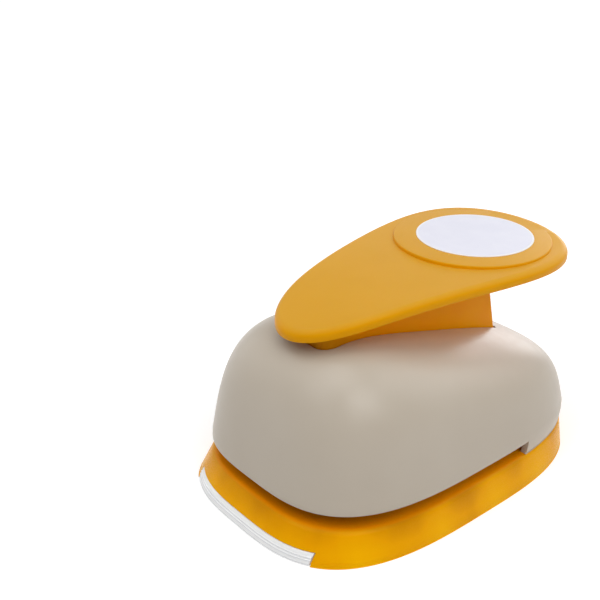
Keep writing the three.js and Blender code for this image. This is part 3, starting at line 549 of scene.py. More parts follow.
def make_base():
    deck_bottom = TABLE_HEIGHT - BASE_WALL
    ledge_bottom = die_bottom - LEDGE_THICKNESS
    rings = [oval_ring(plate, -RUN_GAP, TABLE_HEIGHT - POCKET_LIP),
             oval_ring(plate, -RUN_GAP - POCKET_LIP, TABLE_HEIGHT)]
    rings += [oval_ring(plate, -RUN_GAP - POCKET_MARGIN, TABLE_HEIGHT),
              oval_ring(table, TABLE_MARGIN, TABLE_HEIGHT)]
    rings += [skirt_ring(inside, TABLE_HEIGHT - down)
              for inside, down in arc(TABLE_EDGE_RADIUS, SHOULDER_STEPS)]
    rings += [skirt_ring(0, height) for height in SKIRT_CUTS]
    rings += [skirt_ring(FOOT_EDGE - inside, down) for inside, down in reversed(arc(FOOT_EDGE, EDGE_STEPS))]
    rings += [skirt_ring(BASE_WALL - RUN_GAP, 0), skirt_ring(BASE_WALL, RUN_GAP)]
    rings += [skirt_ring(BASE_WALL, share * deck_bottom) for share in INNER_CUT_SHARES]
    rings += [skirt_ring(BASE_WALL, deck_bottom - DECK_CORNER),
              skirt_ring(BASE_WALL + DECK_CORNER, deck_bottom)]
    rings += [oval_ring(plate, -RUN_GAP - COLLAR_WALL, deck_bottom),
              oval_ring(plate, -RUN_GAP - COLLAR_WALL, ledge_bottom),
              oval_ring(plate, LEDGE_WIDTH, ledge_bottom), oval_ring(plate, LEDGE_WIDTH, die_bottom),
              oval_ring(plate, -RUN_GAP, die_bottom)]
    base = banded("base_moulding", rings)
    cut(base, block("tray_cutout", -channel_half, channel_half, foot["front"] - PAST, plate["front"],
                    -PAST, CUTOUT_HEIGHT))
    tray_stop = tray_high.y + RUN_GAP
    ribs = [
        block("rib", channel_half, channel_half + RIB_WALL, plate["front"], tray_stop + RIB_WALL,
              RIB_FOOT_GAP, die_bottom, RUN_GAP),
        block("rib", -channel_half - RIB_WALL, -channel_half, plate["front"], tray_stop + RIB_WALL,
              RIB_FOOT_GAP, die_bottom, RUN_GAP),
        block("rib", -channel_half - RIB_WALL / 2, channel_half + RIB_WALL / 2, tray_stop,
              tray_stop + RIB_WALL, RIB_FOOT_GAP, die_bottom, RUN_GAP),
    ]
    rear_y = screw_places("die_screw", 4)[2][1]
    rear_half = REAR_RIB_SHARE * plate["half_width"]
    ribs.append(block("rib", -rear_half, rear_half, rear_y - RIB_WALL / 2, rear_y + RIB_WALL / 2,
                      RIB_FOOT_GAP, die_bottom, RUN_GAP))
    ribs += wall_ribs(deck_bottom)
    ribs += pillars(die_bottom, screw_places("die_screw", 4))
    ribs += pillars(deck_bottom, screw_places("housing_screw", 4))
    return smooth(combined(base, *ribs))


# Housing

def dome_ring(t, inset=0.0):
    middle = (edge["front"] + edge["rear"]) / 2
    half_length = (edge["rear"] - edge["front"]) / 2

    def place(turn):
        end_power = DOME_FRONT_POWER if math.sin(turn) < 0 else DOME_REAR_POWER
        power = DOME_SIDE_POWER + (end_power - DOME_SIDE_POWER) * math.sin(turn) ** 2
        scale = (1 - t ** power) ** (1 / power) * (1 - DOME_DRAW_IN_SHARE * t)
        flat_x, flat_y = oval_point(edge, turn, inset)
        y = middle + DOME_LEAN_SHARE * dome_height * t + scale * (flat_y - middle)
        along = (y - middle) / half_length
        fall = 1 - DOME_FALL_SHARE * along - DOME_ROUND_SHARE * along ** 2
        return scale * flat_x, y, edge_height + t * (dome_height * fall - inset)
    return place


def dome_rings(count, inset=0.0):
    return [dome_ring(math.sin(math.pi / 2 * i / count), inset) for i in range(count - 1, 0, -1)]


def slot_cutter(play, bottom, top):
    side = STEM_HALF_WIDTH + play
    front, rear = stem_front - play, stem_rear + play
    deselect()
    bpy.ops.mesh.primitive_plane_add(size=1, location=(0, (front + rear) / 2, bottom))
    cutter = added("slot_cutter")
    cutter.scale = (2 * side, rear - front, 1)
    settled(cutter)
    bpy.ops.object.mode_set(mode="EDIT")
    pick(cutter, "VERT", lambda vertex: vertex.co.y < (front + rear) / 2)
    bpy.ops.mesh.bevel(offset=STEM_FRONT_CORNER + play, segments=STEM_FRONT_STEPS, affect="VERTICES")
    pick(cutter, "VERT", lambda vertex: vertex.co.y > (front + rear) / 2)
    bpy.ops.mesh.bevel(offset=STEM_REAR_CORNER + play, segments=STEM_REAR_STEPS, affect="VERTICES")
    bpy.ops.mesh.select_all(action="SELECT")
    bpy.ops.mesh.extrude_region_move(TRANSFORM_OT_translate={"value": (0, 0, top - bottom)})
    return outward(cutter)


# A ring of the housing's upright wall, a share of the way up from its foot to where its dome begins
def wall_ring(inset, share):
    foot_ring, dome_foot = oval_ring(table, inset, TABLE_HEIGHT), dome_ring(0, inset)

    def place(turn):
        return tuple(low + (high - low) * share for low, high in zip(foot_ring(turn), dome_foot(turn)))
    return place


def make_housing():
    rings = dome_rings(DOME_STEPS)
    rings += [wall_ring(0, share) for share in WALL_CUT_SHARES]
    rings += [oval_ring(table, EDGE_ROUNDING - inside, TABLE_HEIGHT + down)
              for inside, down in reversed(arc(EDGE_ROUNDING, EDGE_STEPS))]
    rings += [oval_ring(table, HOUSING_WALL, TABLE_HEIGHT)]
    rings += [wall_ring(HOUSING_WALL, share) for share in reversed(WALL_CUT_SHARES)]
    rings += reversed(dome_rings(DOME_INNER_STEPS, HOUSING_WALL))
    housing = lofted("housing_shell", dome_ring(1)(0), rings, dome_ring(1, HOUSING_WALL)(0))
    cut(housing, block("mouth", -foot["half_width"], foot["half_width"], foot["front"] - PAST, notch_y,
                       0, edge_height))
    choose(housing)
    bpy.ops.object.mode_set(mode="EDIT")

    def on_mouth(seam):
        ends = [vertex.co for vertex in seam.verts]
        level = all(abs(end.z - edge_height) < SEAM_MATCH for end in ends)
        upright = all(abs(end.y - notch_y) < SEAM_MATCH for end in ends)
        return (level or upright) and seam.calc_face_angle(0) > SHARP_SEAM
    pick(housing, "EDGE", on_mouth)
    bpy.ops.mesh.bevel(offset=EDGE_ROUNDING, segments=EDGE_STEPS, affect="EDGES", clamp_overlap=True)
    outward(housing)
    cut(housing, slot_cutter(SLOT_PLAY, guide_high.z + PAST, paddle_middle_z))
    boss_top = 2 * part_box("housing_screw_1")[1].z - TABLE_HEIGHT
    bore_top = boss_top - EDGE_ROUNDING
    boss = turned("boss", boss_top, [(BOSS_RADIUS, boss_top), (BOSS_RADIUS, TABLE_HEIGHT),
                                     (PILLAR_BORE, TABLE_HEIGHT), (PILLAR_BORE, bore_top)], bore_top)
    return smooth(combined(housing, *repeated(boss, screw_places("housing_screw", 4))))


# Paddle

def paddle_top(y):
    s = (y - paddle_middle_y) / paddle_half_length
    return paddle_middle_z + PADDLE_REAR_RISE * s - PADDLE_ARCH * s ** 2 + PADDLE_REAR_HOLD * s ** 3


def paddle_ring(inset, height, share=1.0):
    def place(turn):
        s = math.sin(turn)
        bulge = sum(term * s ** power for power, term in enumerate(PADDLE_PLAN_SHARES))
        x = share * (PADDLE_HALF_WIDTH - inset) * math.cos(turn) * bulge
        y = paddle_middle_y + share * (paddle_half_length - inset) * s
        return x, y, height(y)
    return place


def paddle_middle(height):
    return 0, paddle_middle_y, height(paddle_middle_y)


def make_paddle():
    def inner_top(y):
        return paddle_top(y) - PADDLE_WALL

    def bottom(y):
        return paddle_top(y) - PADDLE_DEPTH
    shares = [i / PADDLE_STEPS for i in range(1, PADDLE_STEPS)]
    rings = [paddle_ring(PADDLE_SHOULDER, paddle_top, share) for share in shares]
    rings += [paddle_ring(inside, lambda y, down=down: paddle_top(y) - down)
              for inside, down in arc(PADDLE_SHOULDER, SHOULDER_STEPS)]
    rings += [
        paddle_ring(0, lambda y: bottom(y) + PADDLE_RIM),
        paddle_ring(PADDLE_RIM * 0.3, lambda y: bottom(y) + PADDLE_RIM * 0.3),
        paddle_ring(PADDLE_RIM, bottom),
        paddle_ring(PADDLE_WALL - PADDLE_RIM / 2, bottom),
        paddle_ring(PADDLE_WALL, lambda y: bottom(y) + PADDLE_RIM / 2),
        paddle_ring(PADDLE_WALL, lambda y: paddle_top(y) - PADDLE_SHOULDER),
        paddle_ring(PADDLE_SHOULDER, inner_top),
    ]
    rings += [paddle_ring(PADDLE_SHOULDER, inner_top, share) for share in reversed(shares)]
    paddle = lofted("paddle_plate", paddle_middle(paddle_top), rings, paddle_middle(inner_top),
                    PADDLE_TURNS)
    pad_y = PIVOT_Y + PAD_REACH
    low = paddle_top(pad_y) - PADDLE_WALL / 2
    profile = [(PAD_RADIUS / 3, pad_top), (PAD_RADIUS * 2 / 3, pad_top)]
    profile += [(PAD_RADIUS - inside, pad_top - down) for inside, down in arc(PAD_EDGE)]
    profile += [(PAD_RADIUS + PAD_FLARE, low)]
    cut(paddle, moved(turned("pad", pad_top, profile, low, DISC_TURNS), 0, pad_y), "UNION")
    for x, y in screw_places("paddle_screw", 4):
        top, bottom_rim = inner_top(y) + PADDLE_WALL / 2, flange_top(y) + RUN_GAP
        boss = turned("boss", top, [(BOSS_RADIUS, top), (BOSS_RADIUS, bottom_rim),
                                    (PILLAR_BORE, bottom_rim), (PILLAR_BORE, top - RUN_GAP)],
                      top - RUN_GAP)
        combined(paddle, moved(boss, x, y))
    return smooth(paddle, PADDLE_SMOOTH_ANGLE)


def make_label():
    radius = label_high.x
    high, low = label_high.z, label_low.z
    profile = [(radius / 3, high), (radius * 2 / 3, high), (radius - 2 * LABEL_RIM, high)]
    profile += [(radius - inside, high - down) for inside, down in arc(LABEL_RIM, LABEL_STEPS)]
    profile += [(radius, low)]
    return smooth(moved(turned("label_disc", high, profile, low, DISC_TURNS), 0, label_y))


# Lever arm

def flange_bottom(y):
    return paddle_top(y) - PADDLE_DEPTH + FLANGE_SET_UP


def flange_top(y):
    return flange_bottom(y) + FLANGE_THICKNESS


def round_points(y, z, radius, start, stop):
    points = []
    for i in range(SWEEP_STEPS + 1):
        turn = start + (stop - start) * i / SWEEP_STEPS
        points.append((y + radius * math.cos(turn), z + radius * math.sin(turn)))
    return points


# The lowest that the web's rear corner may lie and still clear the guide plate when pressed
def stem_rear_foot():
    angle = math.radians(press["range_deg"][1])
    lowest = guide_high.z + STEM_FLOOR_GAP - PIVOT_Z + STEM_REAR_REACH * math.sin(angle)
    return PIVOT_Z + lowest / math.cos(angle)


def stem_rear_lean():
    return STEM_LEAN_SHARE * (flange_top(stem_rear) - FLANGE_THICKNESS / 2 - stem_rear_foot())


def stem_outline():
    foot_z = stem_rear_foot()
    rear_top = stem_rear - stem_rear_lean()
    points = []
    for i in range(SWEEP_STEPS + 1):
        y = rear_top + (stem_front - rear_top) * i / SWEEP_STEPS
        points.append((y, flange_bottom(y) + FLANGE_THICKNESS / 2))
    eye_top = PIVOT_Z + EYE_RADIUS
    points += [(stem_front, eye_top)]
    points += round_points(PIVOT_Y, PIVOT_Z, EYE_RADIUS, math.pi / 2, 3 * math.pi / 2)
    nose_z = PIVOT_Z - NOSE_DROP
    points += round_points(AXIS_Y, nose_z, NOSE_RADIUS, -3 * math.pi / 4, -math.pi / 4)
    points += [(PIVOT_Y + STEM_NECK_REACH, PIVOT_Z - STEM_NECK_DROP), (stem_rear, foot_z)]
    return points


def make_lever_arm():
    arm = drawn_sideways("lever_web", stem_outline(), -STEM_HALF_WIDTH, STEM_HALF_WIDTH)
    rear_top = stem_rear - stem_rear_lean()
    choose(arm)
    bpy.ops.object.mode_set(mode="EDIT")

    def rear_corner(seam):
        ends = [vertex.co for vertex in seam.verts]
        at_rear = min(end.y for end in ends) > rear_top - RUN_GAP
        return at_rear and abs(ends[0].z - ends[1].z) > STEM_REAR_CORNER
    pick(arm, "EDGE", rear_corner)
    bpy.ops.mesh.bevel(offset=STEM_REAR_CORNER, segments=STEM_REAR_STEPS, affect="EDGES",
                       clamp_overlap=True)
    outward(arm)
    eye_top = PIVOT_Z + EYE_RADIUS
    corners = block("corners", -STEM_HALF_WIDTH - PAST, STEM_HALF_WIDTH + PAST, stem_front - PAST,
                    stem_front + STEM_FRONT_CORNER, eye_top, paddle_middle_z)
    cut(corners, slot_cutter(0, eye_top - PAST, paddle_middle_z + PAST))
    cut(arm, corners)
    inset = PADDLE_WALL + FLANGE_PLAY
    shares = [i / FLANGE_STEPS for i in range(1, FLANGE_STEPS)]
    rings = [paddle_ring(inset, flange_top, share) for share in shares]
    rings += [paddle_ring(inset, flange_top), paddle_ring(inset, lambda y: flange_bottom(y) + RUN_GAP),
              paddle_ring(inset + RUN_GAP, flange_bottom)]
    rings += [paddle_ring(inset, flange_bottom, share) for share in reversed(shares)]
    flange = lofted("flange", paddle_middle(flange_top), rings, paddle_middle(flange_bottom), PADDLE_TURNS)
    cut(arm, flange, "UNION")
    deselect()
    bpy.ops.mesh.primitive_cylinder_add(
        vertices=ROUND_TURNS, radius=PIN_BORE, depth=2 * STEM_HALF_WIDTH + 2 * PAST,
        location=(0, PIVOT_Y, PIVOT_Z), rotation=(0, math.pi / 2, 0))
    cut(arm, settled(added("pin_bore")))
    for x, y in screw_places("paddle_screw", 4):
        top, bottom = paddle_top(y), flange_bottom(y) - PAST
        bore = turned("screw_bore", top, [(PILLAR_BORE, top), (PILLAR_BORE, bottom)], bottom)
        cut(arm, moved(bore, x, y))
    return smooth(arm)


# Tray

def make_tray():
    lip_top = tray_high.z
    top = TABLE_HEIGHT
    profile = [(0, top), (0, lip_top + FOOT_EDGE), (FOOT_EDGE / 2, lip_top), (0, lip_top - FOOT_EDGE)]
    for height in reversed(TRAY_RIDGES):
        ridge_top, ridge_bottom = height + TRAY_RIDGE_HALF, height - TRAY_RIDGE_HALF
        profile += [(0, ridge_top + TRAY_RIDGE_FLANK), (-TRAY_RIDGE, ridge_top),
                    (-TRAY_RIDGE, ridge_bottom), (0, ridge_bottom - TRAY_RIDGE_FLANK)]
    profile += [(0, FOOT_EDGE * 2), (FOOT_EDGE, 0)]
    rings = [skirt_ring(depth, height) for depth, height in profile]
    tray = lofted("tray_lip", middle_point(table, top), rings, middle_point(foot, 0))
    reach = block("reach", -hole_radius, hole_radius, foot["front"] - PAST, plate["front"],
                  RUN_GAP, lip_top)
    cut(tray, reach, "INTERSECT")
    floor_top = RUN_GAP + TRAY_FLOOR
    behind = lofted("behind", middle_point(table, top), [skirt_ring(TRAY_LIP_WALL, top),
                                                         skirt_ring(TRAY_LIP_WALL, floor_top)],
                    middle_point(foot, floor_top))
    inner = hole_radius - TRAY_SIDE_WALL
    cut(behind, block("between_walls", -inner, inner, foot["front"] - PAST, table["rear"], 0, top + PAST),
        "INTERSECT")
    cut(tray, behind)
    floor = block("floor", -hole_radius, hole_radius, plate["front"] - RIB_WALL, tray_high.y,
                  RUN_GAP, floor_top)
    cut(tray, floor, "UNION")
    for side in (-1, 1):
        x0, x1 = sorted((side * inner, side * hole_radius))
        wall = block("side_wall", x0, x1, plate["front"] - RIB_WALL, tray_high.y, RUN_GAP, lip_top)
        cut(tray, wall, "UNION")
    rear = block("rear", -hole_radius, hole_radius, tray_high.y - TRAY_REAR_WALL, tray_high.y,
                 RUN_GAP + TRAY_FLOOR / 2, lip_top, TRAY_REAR_ROUNDING)
    cut(tray, rear, "UNION")
    return smooth(tray)


# Return springs, wound as fixed coils on the frame

def wind_spring():
    low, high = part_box("return_spring_1")
    coil_radius = (high.x - low.x) / 2 - SPRING_WIRE / 2
    height = high.z - low.z - SPRING_WIRE
    deselect()
    bpy.ops.mesh.primitive_circle_add(
        vertices=SPRING_WIRE_SIDES, radius=SPRING_WIRE / 2, fill_type="NGON",
        location=(coil_radius, 0, 0), rotation=(math.pi / 2, 0, 0))
    spring = settled(added("spring"))
    applied(spring, "SCREW", screw_offset=height / SPRING_COILS, iterations=SPRING_COILS,
            steps=SPRING_TURN_STEPS, render_steps=SPRING_TURN_STEPS, use_merge_vertices=True)
    return smooth(outward(spring), SPRING_SMOOTH_ANGLE)


def make_springs():
    model = wind_spring()
    springs = []
    for i in (1, 2):
        node = f"return_spring_{i}"
        low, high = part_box(node)
        spring = copied(model, f"wound_{node}")
        moved(spring, (low.x + high.x) / 2, AXIS_Y, low.z + SPRING_WIRE / 2)
        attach(spring, "frame")
        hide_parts(node)
        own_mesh(spring)
        springs.append(spring)
    bpy.data.objects.remove(model)
    return springs


# Screws with a rounded head and a cross recess

def model_screw():
    crown = -SCREW_HEAD_HEIGHT
    profile = [
        (SCREW_SHANK / 2, SCREW_LENGTH),
        (SCREW_SHANK, SCREW_LENGTH - SCREW_SHANK / 2),
        (SCREW_SHANK, 0),
        (SCREW_HEAD - RUN_GAP / 2, 0),
    ]
    profile += [(SCREW_HEAD * wide, crown * high) for wide, high in SCREW_CROWN_SHARES]
    screw = turned("screw", SCREW_LENGTH, profile, crown, SCREW_TURNS)
    for wide, deep in ((RECESS_REACH, RECESS_BLADE), (RECESS_BLADE, RECESS_REACH)):
        cut(screw, block("recess", -wide, wide, -deep, deep, crown - PAST, crown + RECESS_DEPTH))
    return smooth(outward(screw))


# One copy of the screw at a node's place, as long as that node, with its head up or down
def place_screw(model, node, body, head_up):
    low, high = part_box(node)
    longer = high.z - low.z - SCREW_HEAD_HEIGHT - SCREW_LENGTH
    screw = copied(model, f"cross_{node}")
    for vertex in screw.data.vertices:
        if vertex.co.z > SCREW_LENGTH / 2:
            vertex.co.z += longer
    screw.rotation_euler.x = math.pi if head_up else 0
    seat = high.z - SCREW_HEAD_HEIGHT if head_up else low.z + SCREW_HEAD_HEIGHT
    moved(screw, (low.x + high.x) / 2, (low.y + high.y) / 2, seat)
    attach(screw, body)
    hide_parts(node)
    return screw


def make_screws():
    model = model_screw()
    kinds = (("die_screw", 4, "frame", False), ("housing_screw", 4, "frame", False),
             ("bracket_screw", 2, "frame", True), ("punch_screw", 2, "ram", True),
             ("paddle_screw", 4, "lever", False))
    screws = [place_screw(model, f"{kind}_{i + 1}", body, head_up)
              for kind, count, body, head_up in kinds for i in range(count)]
    bpy.data.objects.remove(model)
    return screws


# Materials

def linear(red, green, blue):
    def one(value):
        share = value / 255
        return share / 12.92 if share <= 0.04045 else ((share + 0.055) / 1.055) ** 2.4
    return (one(red), one(green), one(blue), 1)


WARM_SHEEN = linear(255, 226, 150)
NOISE_LOW = 0.3
NOISE_HIGH = 0.7


# A node with its settings, and on each of its sockets a plain value or a link
def new_node(tree, kind, inputs, **settings):
    made = tree.nodes.new(kind)
    for name, value in settings.items():
        setattr(made, name, value)
    for name, value in inputs.items():
        if isinstance(value, bpy.types.NodeSocket):
            tree.links.new(value, made.inputs[name])
        else:
            made.inputs[name].default_value = value
    return made


class Finish:
    """One material under construction, with its nodes on Object coordinates."""

    def __init__(self, name):
        self.material = bpy.data.materials.new(name)
        self.material.use_nodes = True
        self.tree = self.material.node_tree
        self.shader = self.tree.nodes["Principled BSDF"]
        self.place = self.tree.nodes.new("ShaderNodeTexCoord").outputs["Object"]

    def set(self, **values):
        for name, value in values.items():
            self.shader.inputs[name.replace("_", " ")].default_value = value

    def link(self, output, socket):
        self.tree.links.new(output, self.shader.inputs[socket])

    def node(self, kind, inputs, **settings):
        return new_node(self.tree, kind, inputs, **settings)

    def noise(self, scale, detail=4.0, roughness=0.55, stretch=(1, 1, 1)):
        mapping = self.node("ShaderNodeMapping", {"Vector": self.place, "Scale": stretch})
        return self.node("ShaderNodeTexNoise", {
            "Vector": mapping.outputs["Vector"], "Scale": scale, "Detail": detail,
            "Roughness": roughness}).outputs["Fac"]

    def ramp(self, source, *stops):
        made = self.node("ShaderNodeValToRGB", {"Fac": source})
        elements = made.color_ramp.elements
        while len(elements) < len(stops):
            elements.new(0.5)
        for element, (place, colour) in zip(elements, stops):
            element.position = place
            element.color = colour
        return made.outputs["Color"]

    def range(self, source, low, high, to_low, to_high):
        return self.node("ShaderNodeMapRange", {
            0: source, 1: low, 2: high, 3: to_low, 4: to_high}).outputs[0]

    def mix(self, share, first, second):
        return self.node("ShaderNodeMix", {0: share, 6: first, 7: second}, data_type="RGBA").outputs[2]

    def drift(self, noise, first, second):
        return self.ramp(noise, (NOISE_LOW, first), (NOISE_HIGH, second))

    def rough(self, noise, least, most):
        self.link(self.range(noise, NOISE_LOW, NOISE_HIGH, least, most), "Roughness")

    def along(self, axis):
        return self.node("ShaderNodeSeparateXYZ", {0: self.place}).outputs["XYZ".index(axis)]

    def sum(self, operation, *values):
        return self.node("ShaderNodeMath", dict(enumerate(values)), operation=operation).outputs[0]

    def bump(self, source, strength, distance):
        made = self.node("ShaderNodeBump", {"Height": source, "Strength": strength, "Distance": distance})
        self.link(made.outputs["Normal"], "Normal")


# Translucent amber with random patches of tone; painted shade in upright bands where ribs stand behind the
# skirt and higher up, so a painted glow toward the foot; and a more orange painted glow on the table, where
# the housing's shade falls
def amber_moulding():
    finish = Finish("amber_moulding")
    upper_shade_start = TABLE_HEIGHT * 0.35
    table_depth = 0.6 * MM
    from_axis = finish.sum("SUBTRACT", finish.along("Y"), AXIS_Y)
    # Painted shade: upright bands on the skirt where the ribs stand behind it
    rib_shade_bands = finish.sum("COSINE", finish.sum("MULTIPLY", from_axis, 2 * math.pi / WALL_RIB_SPACING))
    patches = finish.range(finish.noise(60, 2.0, 0.45, (1, 1, 0.15)), 0.25, 0.75, -1.0, 1.0)
    # Painted shade, darker higher up the skirt and lighter toward the foot
    upper_shade = finish.range(finish.along("Z"), upper_shade_start, TABLE_HEIGHT, -1.0, 1.0)
    # Painted shade from the bands and the height, with random patches of tone, summed for the ramp from
    # light to dark
    depth = finish.sum("ADD", finish.sum("MULTIPLY_ADD", rib_shade_bands, 0.7, patches), upper_shade)
    shade = finish.range(depth, -2.0, 2.0, 0.0, 1.0)
    body = finish.ramp(shade, (0.0, linear(255, 184, 0)), (0.5, linear(245, 169, 0)),
                       (1.0, linear(213, 139, 2)))
    # Painted glow: a brighter orange on the table's top, standing in for light carried through the plastic
    # into the housing's shade
    table_glow_share = finish.range(finish.along("Z"), TABLE_HEIGHT - table_depth, TABLE_HEIGHT, 0.0, 1.0)
    finish.link(finish.mix(table_glow_share, body, linear(255, 150, 2)), "Base Color")
    finish.rough(finish.noise(2400, 3.0), 0.24, 0.3)
    finish.set(Subsurface_Weight=0.2, Subsurface_Radius=(1.0, 0.45, 0.05), Subsurface_Scale=2 * MM,
               IOR=1.5, Specular_IOR_Level=0.1, Specular_Tint=WARM_SHEEN)
    return finish.material


def stone_moulding():
    finish = Finish("stone_moulding")
    body = finish.drift(finish.noise(18, 3.0), linear(183, 171, 154), linear(190, 179, 163))
    finish.link(body, "Base Color")
    finish.rough(finish.noise(300, 4.0), 0.33, 0.42)
    finish.bump(finish.noise(2600, 3.0), 0.12, 0.02 * MM)
    finish.set(IOR=1.5, Coat_Weight=0.2, Coat_Roughness=0.35)
    return finish.material


# Honey plastic with painted light by which way each face points: a paler painted sheen on its flat top and
# a stronger yellow painted glow on its edges, which light passes through
def honey_moulding():
    finish = Finish("honey_moulding")
    body = finish.drift(finish.noise(22, 3.0), linear(215, 157, 38), linear(221, 163, 50))
    # Painted sheen on faces that point up, and a painted glow of light through the edges on the others
    facing = finish.node("ShaderNodeTexCoord", {}).outputs["Normal"]
    upward = finish.node("ShaderNodeSeparateXYZ", {0: facing}).outputs[2]
    top = finish.range(upward, 0.35, 0.92, 0.0, 1.0)
    finish.link(finish.mix(top, linear(229, 158, 0), body), "Base Color")
    finish.rough(finish.noise(2000, 4.0), 0.36, 0.46)
    finish.bump(finish.noise(2600, 3.0), 0.1, 0.02 * MM)
    finish.set(Subsurface_Weight=0.2, Subsurface_Radius=(1.0, 0.6, 0.08), Subsurface_Scale=1.5 * MM,
               IOR=1.5, Specular_IOR_Level=0.18, Specular_Tint=WARM_SHEEN)
    return finish.material


# Deep orange plastic, with painted shade browning the web's front end, where no light comes through it from
# behind
def orange_moulding():
    finish = Finish("orange_moulding")
    shaded_end, unshaded_start = stem_front + 2 * MM, stem_front + 16 * MM
    patches = finish.noise(40, 2.0, 0.45, (1, 1, 0.3))
    body = finish.drift(patches, linear(254, 156, 0), linear(255, 168, 0))
    # Painted shade: browner toward the web's front end
    out_of_shade = finish.range(finish.along("Y"), shaded_end, unshaded_start, 0.0, 1.0)
    finish.link(finish.mix(out_of_shade, linear(200, 128, 8), body), "Base Color")
    finish.rough(finish.noise(2400, 3.0), 0.28, 0.34)
    finish.set(Subsurface_Weight=0.2, Subsurface_Radius=(1.0, 0.4, 0.04), Subsurface_Scale=2 * MM,
               IOR=1.5, Specular_IOR_Level=0.07, Specular_Tint=WARM_SHEEN)
    return finish.material


# Clear plastic against white, with a fine grey line of painted shade along its foot and along each ridge
def clear_moulding():
    finish = Finish("clear_moulding")
    body = finish.drift(finish.noise(60, 2.0), linear(251, 252, 253), linear(255, 255, 255))
    height = finish.along("Z")
    # Painted shade: a thin grey line at each of these heights
    for shade_line_height in (2 * FOOT_EDGE, *TRAY_RIDGES):
        away = finish.sum("ABSOLUTE", finish.sum("SUBTRACT", height, shade_line_height))
        shade_line = finish.range(away, 0.0, TRAY_RIDGE_HALF, 1.0, 0.0)
        body = finish.mix(shade_line, body, linear(222, 224, 229))
    finish.link(body, "Base Color")
    finish.rough(finish.noise(500, 3.0), 0.06, 0.12)
    finish.set(IOR=1.49, Specular_IOR_Level=1.0, Transmission_Weight=0.06)
    return finish.material


# Bare pale vinyl with a whiter rim
def label_vinyl():
    finish = Finish("label_vinyl")
    rim_start, rim_full = label_high.x - 0.8 * MM, label_high.x - 0.5 * MM
    body = finish.ramp(finish.noise(120, 3.0), (0.35, linear(233, 233, 245)), (0.65, linear(236, 236, 247)))
    centre = (0, label_y, label_high.z)
    out = finish.node("ShaderNodeVectorMath", {0: finish.place, 1: centre}, operation="DISTANCE")
    rim = finish.range(out.outputs["Value"], rim_start, rim_full, 0.0, 1.0)
    finish.link(finish.mix(rim, body, linear(247, 247, 250)), "Base Color")
    finish.rough(finish.noise(900, 3.0), 0.36, 0.48)
    finish.bump(finish.noise(3200, 2.0), 0.06, 0.01 * MM)
    finish.set(IOR=1.48, Specular_IOR_Level=0.1)
    return finish.material


# Metal whose grain shows in its colour, its roughness and its relief
def metal(name, grain_kind, dark, pale, roughness, relief=None, metallic=1.0):
    finish = Finish(name)
    grain = finish.noise(*grain_kind)
    finish.link(finish.drift(grain, dark, pale), "Base Color")
    finish.rough(grain, *roughness)
    if relief:
        finish.bump(grain, *relief)
    finish.set(Metallic=metallic)
    return finish.material


def ground_steel():
    along_the_grinding = (0.05, 1, 1)
    return metal("ground_steel", (900, 5.0, 0.6, along_the_grinding), linear(168, 170, 174),
                 linear(196, 198, 202), (0.22, 0.38), (0.15, 0.01 * MM))


def cast_zinc():
    return metal("cast_zinc", (700, 6.0, 0.65), linear(142, 143, 145), linear(168, 169, 171),
                 (0.42, 0.6), (0.35, 0.05 * MM), 0.9)


def plated_steel():
    return metal("plated_steel", (1200, 4.0), linear(150, 152, 156), linear(182, 184, 188),
                 (0.22, 0.36), (0.08, 0.01 * MM))


def spring_steel():
    return metal("spring_steel", (1500, 4.0), linear(128, 129, 134), linear(160, 161, 166), (0.25, 0.4))


def dress(piece, material):
    piece.data.materials.clear()
    piece.data.materials.append(material)


# The object

def fitted(piece, body, node, material):
    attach(piece, body)
    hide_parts(node)
    dress(piece, material)
    return piece


def make_object():
    steel, zinc, plated, wire = ground_steel(), cast_zinc(), plated_steel(), spring_steel()
    fitted(make_base(), "frame", "base", amber_moulding())
    fitted(make_housing(), "frame", "housing", stone_moulding())
    fitted(make_tray(), "tray", "shape_tray", clear_moulding())
    fitted(make_lever_arm(), "lever", "lever_arm", orange_moulding())
    fitted(make_paddle(), "lever", "paddle", honey_moulding())
    fitted(make_label(), "lever", "top_label", label_vinyl())
    for spring in make_springs():
        dress(spring, wire)
    for screw in make_screws():
        dress(screw, plated)
    for node in ("die_plate", "spacer_plate", "round_punch", "guide_post_1", "guide_post_2", "pivot_pin"):
        dress(frame["nodes"][node], steel)
    for node in ("guide_plate", "crosshead", "pivot_bracket"):
        dress(frame["nodes"][node], zinc)
    for node in ("frame_rivet_1", "frame_rivet_2", "frame_rivet_3", "frame_rivet_4", "pivot_clip"):
        dress(frame["nodes"][node], plated)


# Studio

def make_camera():
    data = bpy.data.cameras.new("camera")
    camera = bpy.data.objects.new("camera", data)
    bpy.context.scene.collection.objects.link(camera)
    camera.location = CAMERA_PLACE
    camera.rotation_euler = CAMERA_TURN
    data.lens = CAMERA_LENS
    data.sensor_width = CAMERA_SENSOR
    data.clip_start = CAMERA_CLIP
    bpy.context.scene.camera = camera


# One for the camera, for glossy faces and for what shines through, and nought for light on the object
def camera_share(tree):
    path = tree.nodes.new("ShaderNodeLightPath")
    share = path.outputs["Is Camera Ray"]
    for ray in ("Is Glossy Ray", "Is Transmission Ray"):
        either = new_node(tree, "ShaderNodeMath", {0: share, 1: path.outputs[ray]},
                          operation="ADD", use_clamp=True)
        share = either.outputs[0]
    return share


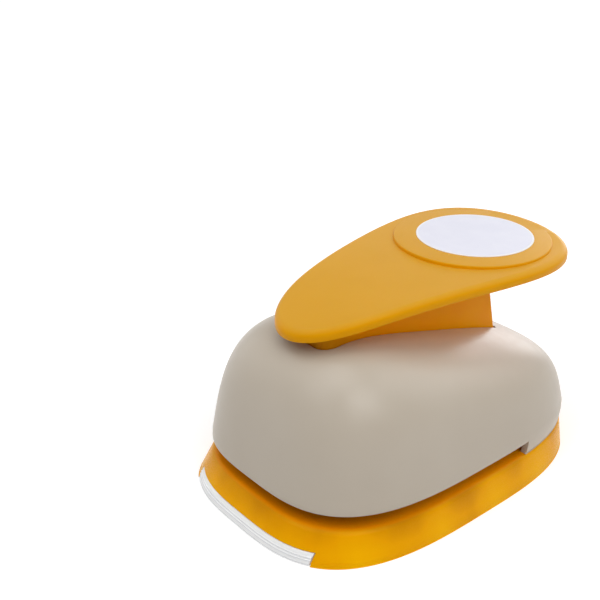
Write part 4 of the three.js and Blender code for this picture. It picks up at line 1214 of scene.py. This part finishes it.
def make_floor():
    deselect()
    bpy.ops.mesh.primitive_plane_add(size=FLOOR_SIZE, location=(0, 0, -FLOOR_DROP))
    floor = added("floor")
    material = bpy.data.materials.new("pale_floor")
    material.use_nodes = True
    tree = material.node_tree
    tree.nodes.remove(tree.nodes["Principled BSDF"])
    matt = new_node(tree, "ShaderNodeBsdfDiffuse", {"Color": FLOOR_WHITE})
    place = tree.nodes.new("ShaderNodeTexCoord").outputs["Object"]
    distance = new_node(tree, "ShaderNodeVectorMath", {0: place}, operation="LENGTH")
    level = new_node(tree, "ShaderNodeMapRange", {
        "Value": distance.outputs["Value"], "From Min": FLOOR_NEAR_REACH, "From Max": FLOOR_FAR_REACH,
        "To Min": FLOOR_GLOW_NEAR, "To Max": FLOOR_GLOW_FAR})
    strength = new_node(tree, "ShaderNodeMath", {0: camera_share(tree), 1: level.outputs[0]},
                        operation="MULTIPLY")
    glow = new_node(tree, "ShaderNodeEmission", {"Color": (1, 1, 1, 1), "Strength": strength.outputs[0]})
    both = new_node(tree, "ShaderNodeAddShader", {0: matt.outputs[0], 1: glow.outputs[0]})
    tree.links.new(both.outputs[0], tree.nodes["Material Output"].inputs["Surface"])
    floor.data.materials.append(material)


def make_world():
    world = bpy.data.worlds.new("studio")
    bpy.context.scene.world = world
    world.use_nodes = True
    tree = world.node_tree
    background = tree.nodes["Background"]
    background.inputs["Color"].default_value = (1, 1, 1, 1)
    strength = new_node(tree, "ShaderNodeMapRange", {0: camera_share(tree), 3: WORLD_LIGHT, 4: WORLD_SEEN})
    tree.links.new(strength.outputs[0], background.inputs["Strength"])


def make_lamp(name, place, size, power):
    data = bpy.data.lights.new(name, "AREA")
    data.size = size
    data.energy = power
    lamp = bpy.data.objects.new(name, data)
    bpy.context.scene.collection.objects.link(lamp)
    lamp.location = place
    lamp.rotation_euler = (Vector(LAMP_AIM) - Vector(place)).to_track_quat("-Z", "Y").to_euler()


def make_studio():
    make_floor()
    make_world()
    for name, place, size, power in LAMPS:
        make_lamp(name, place, size, power)
    bpy.context.scene.view_settings.view_transform = "Standard"


make_camera()
make_object()
make_studio()
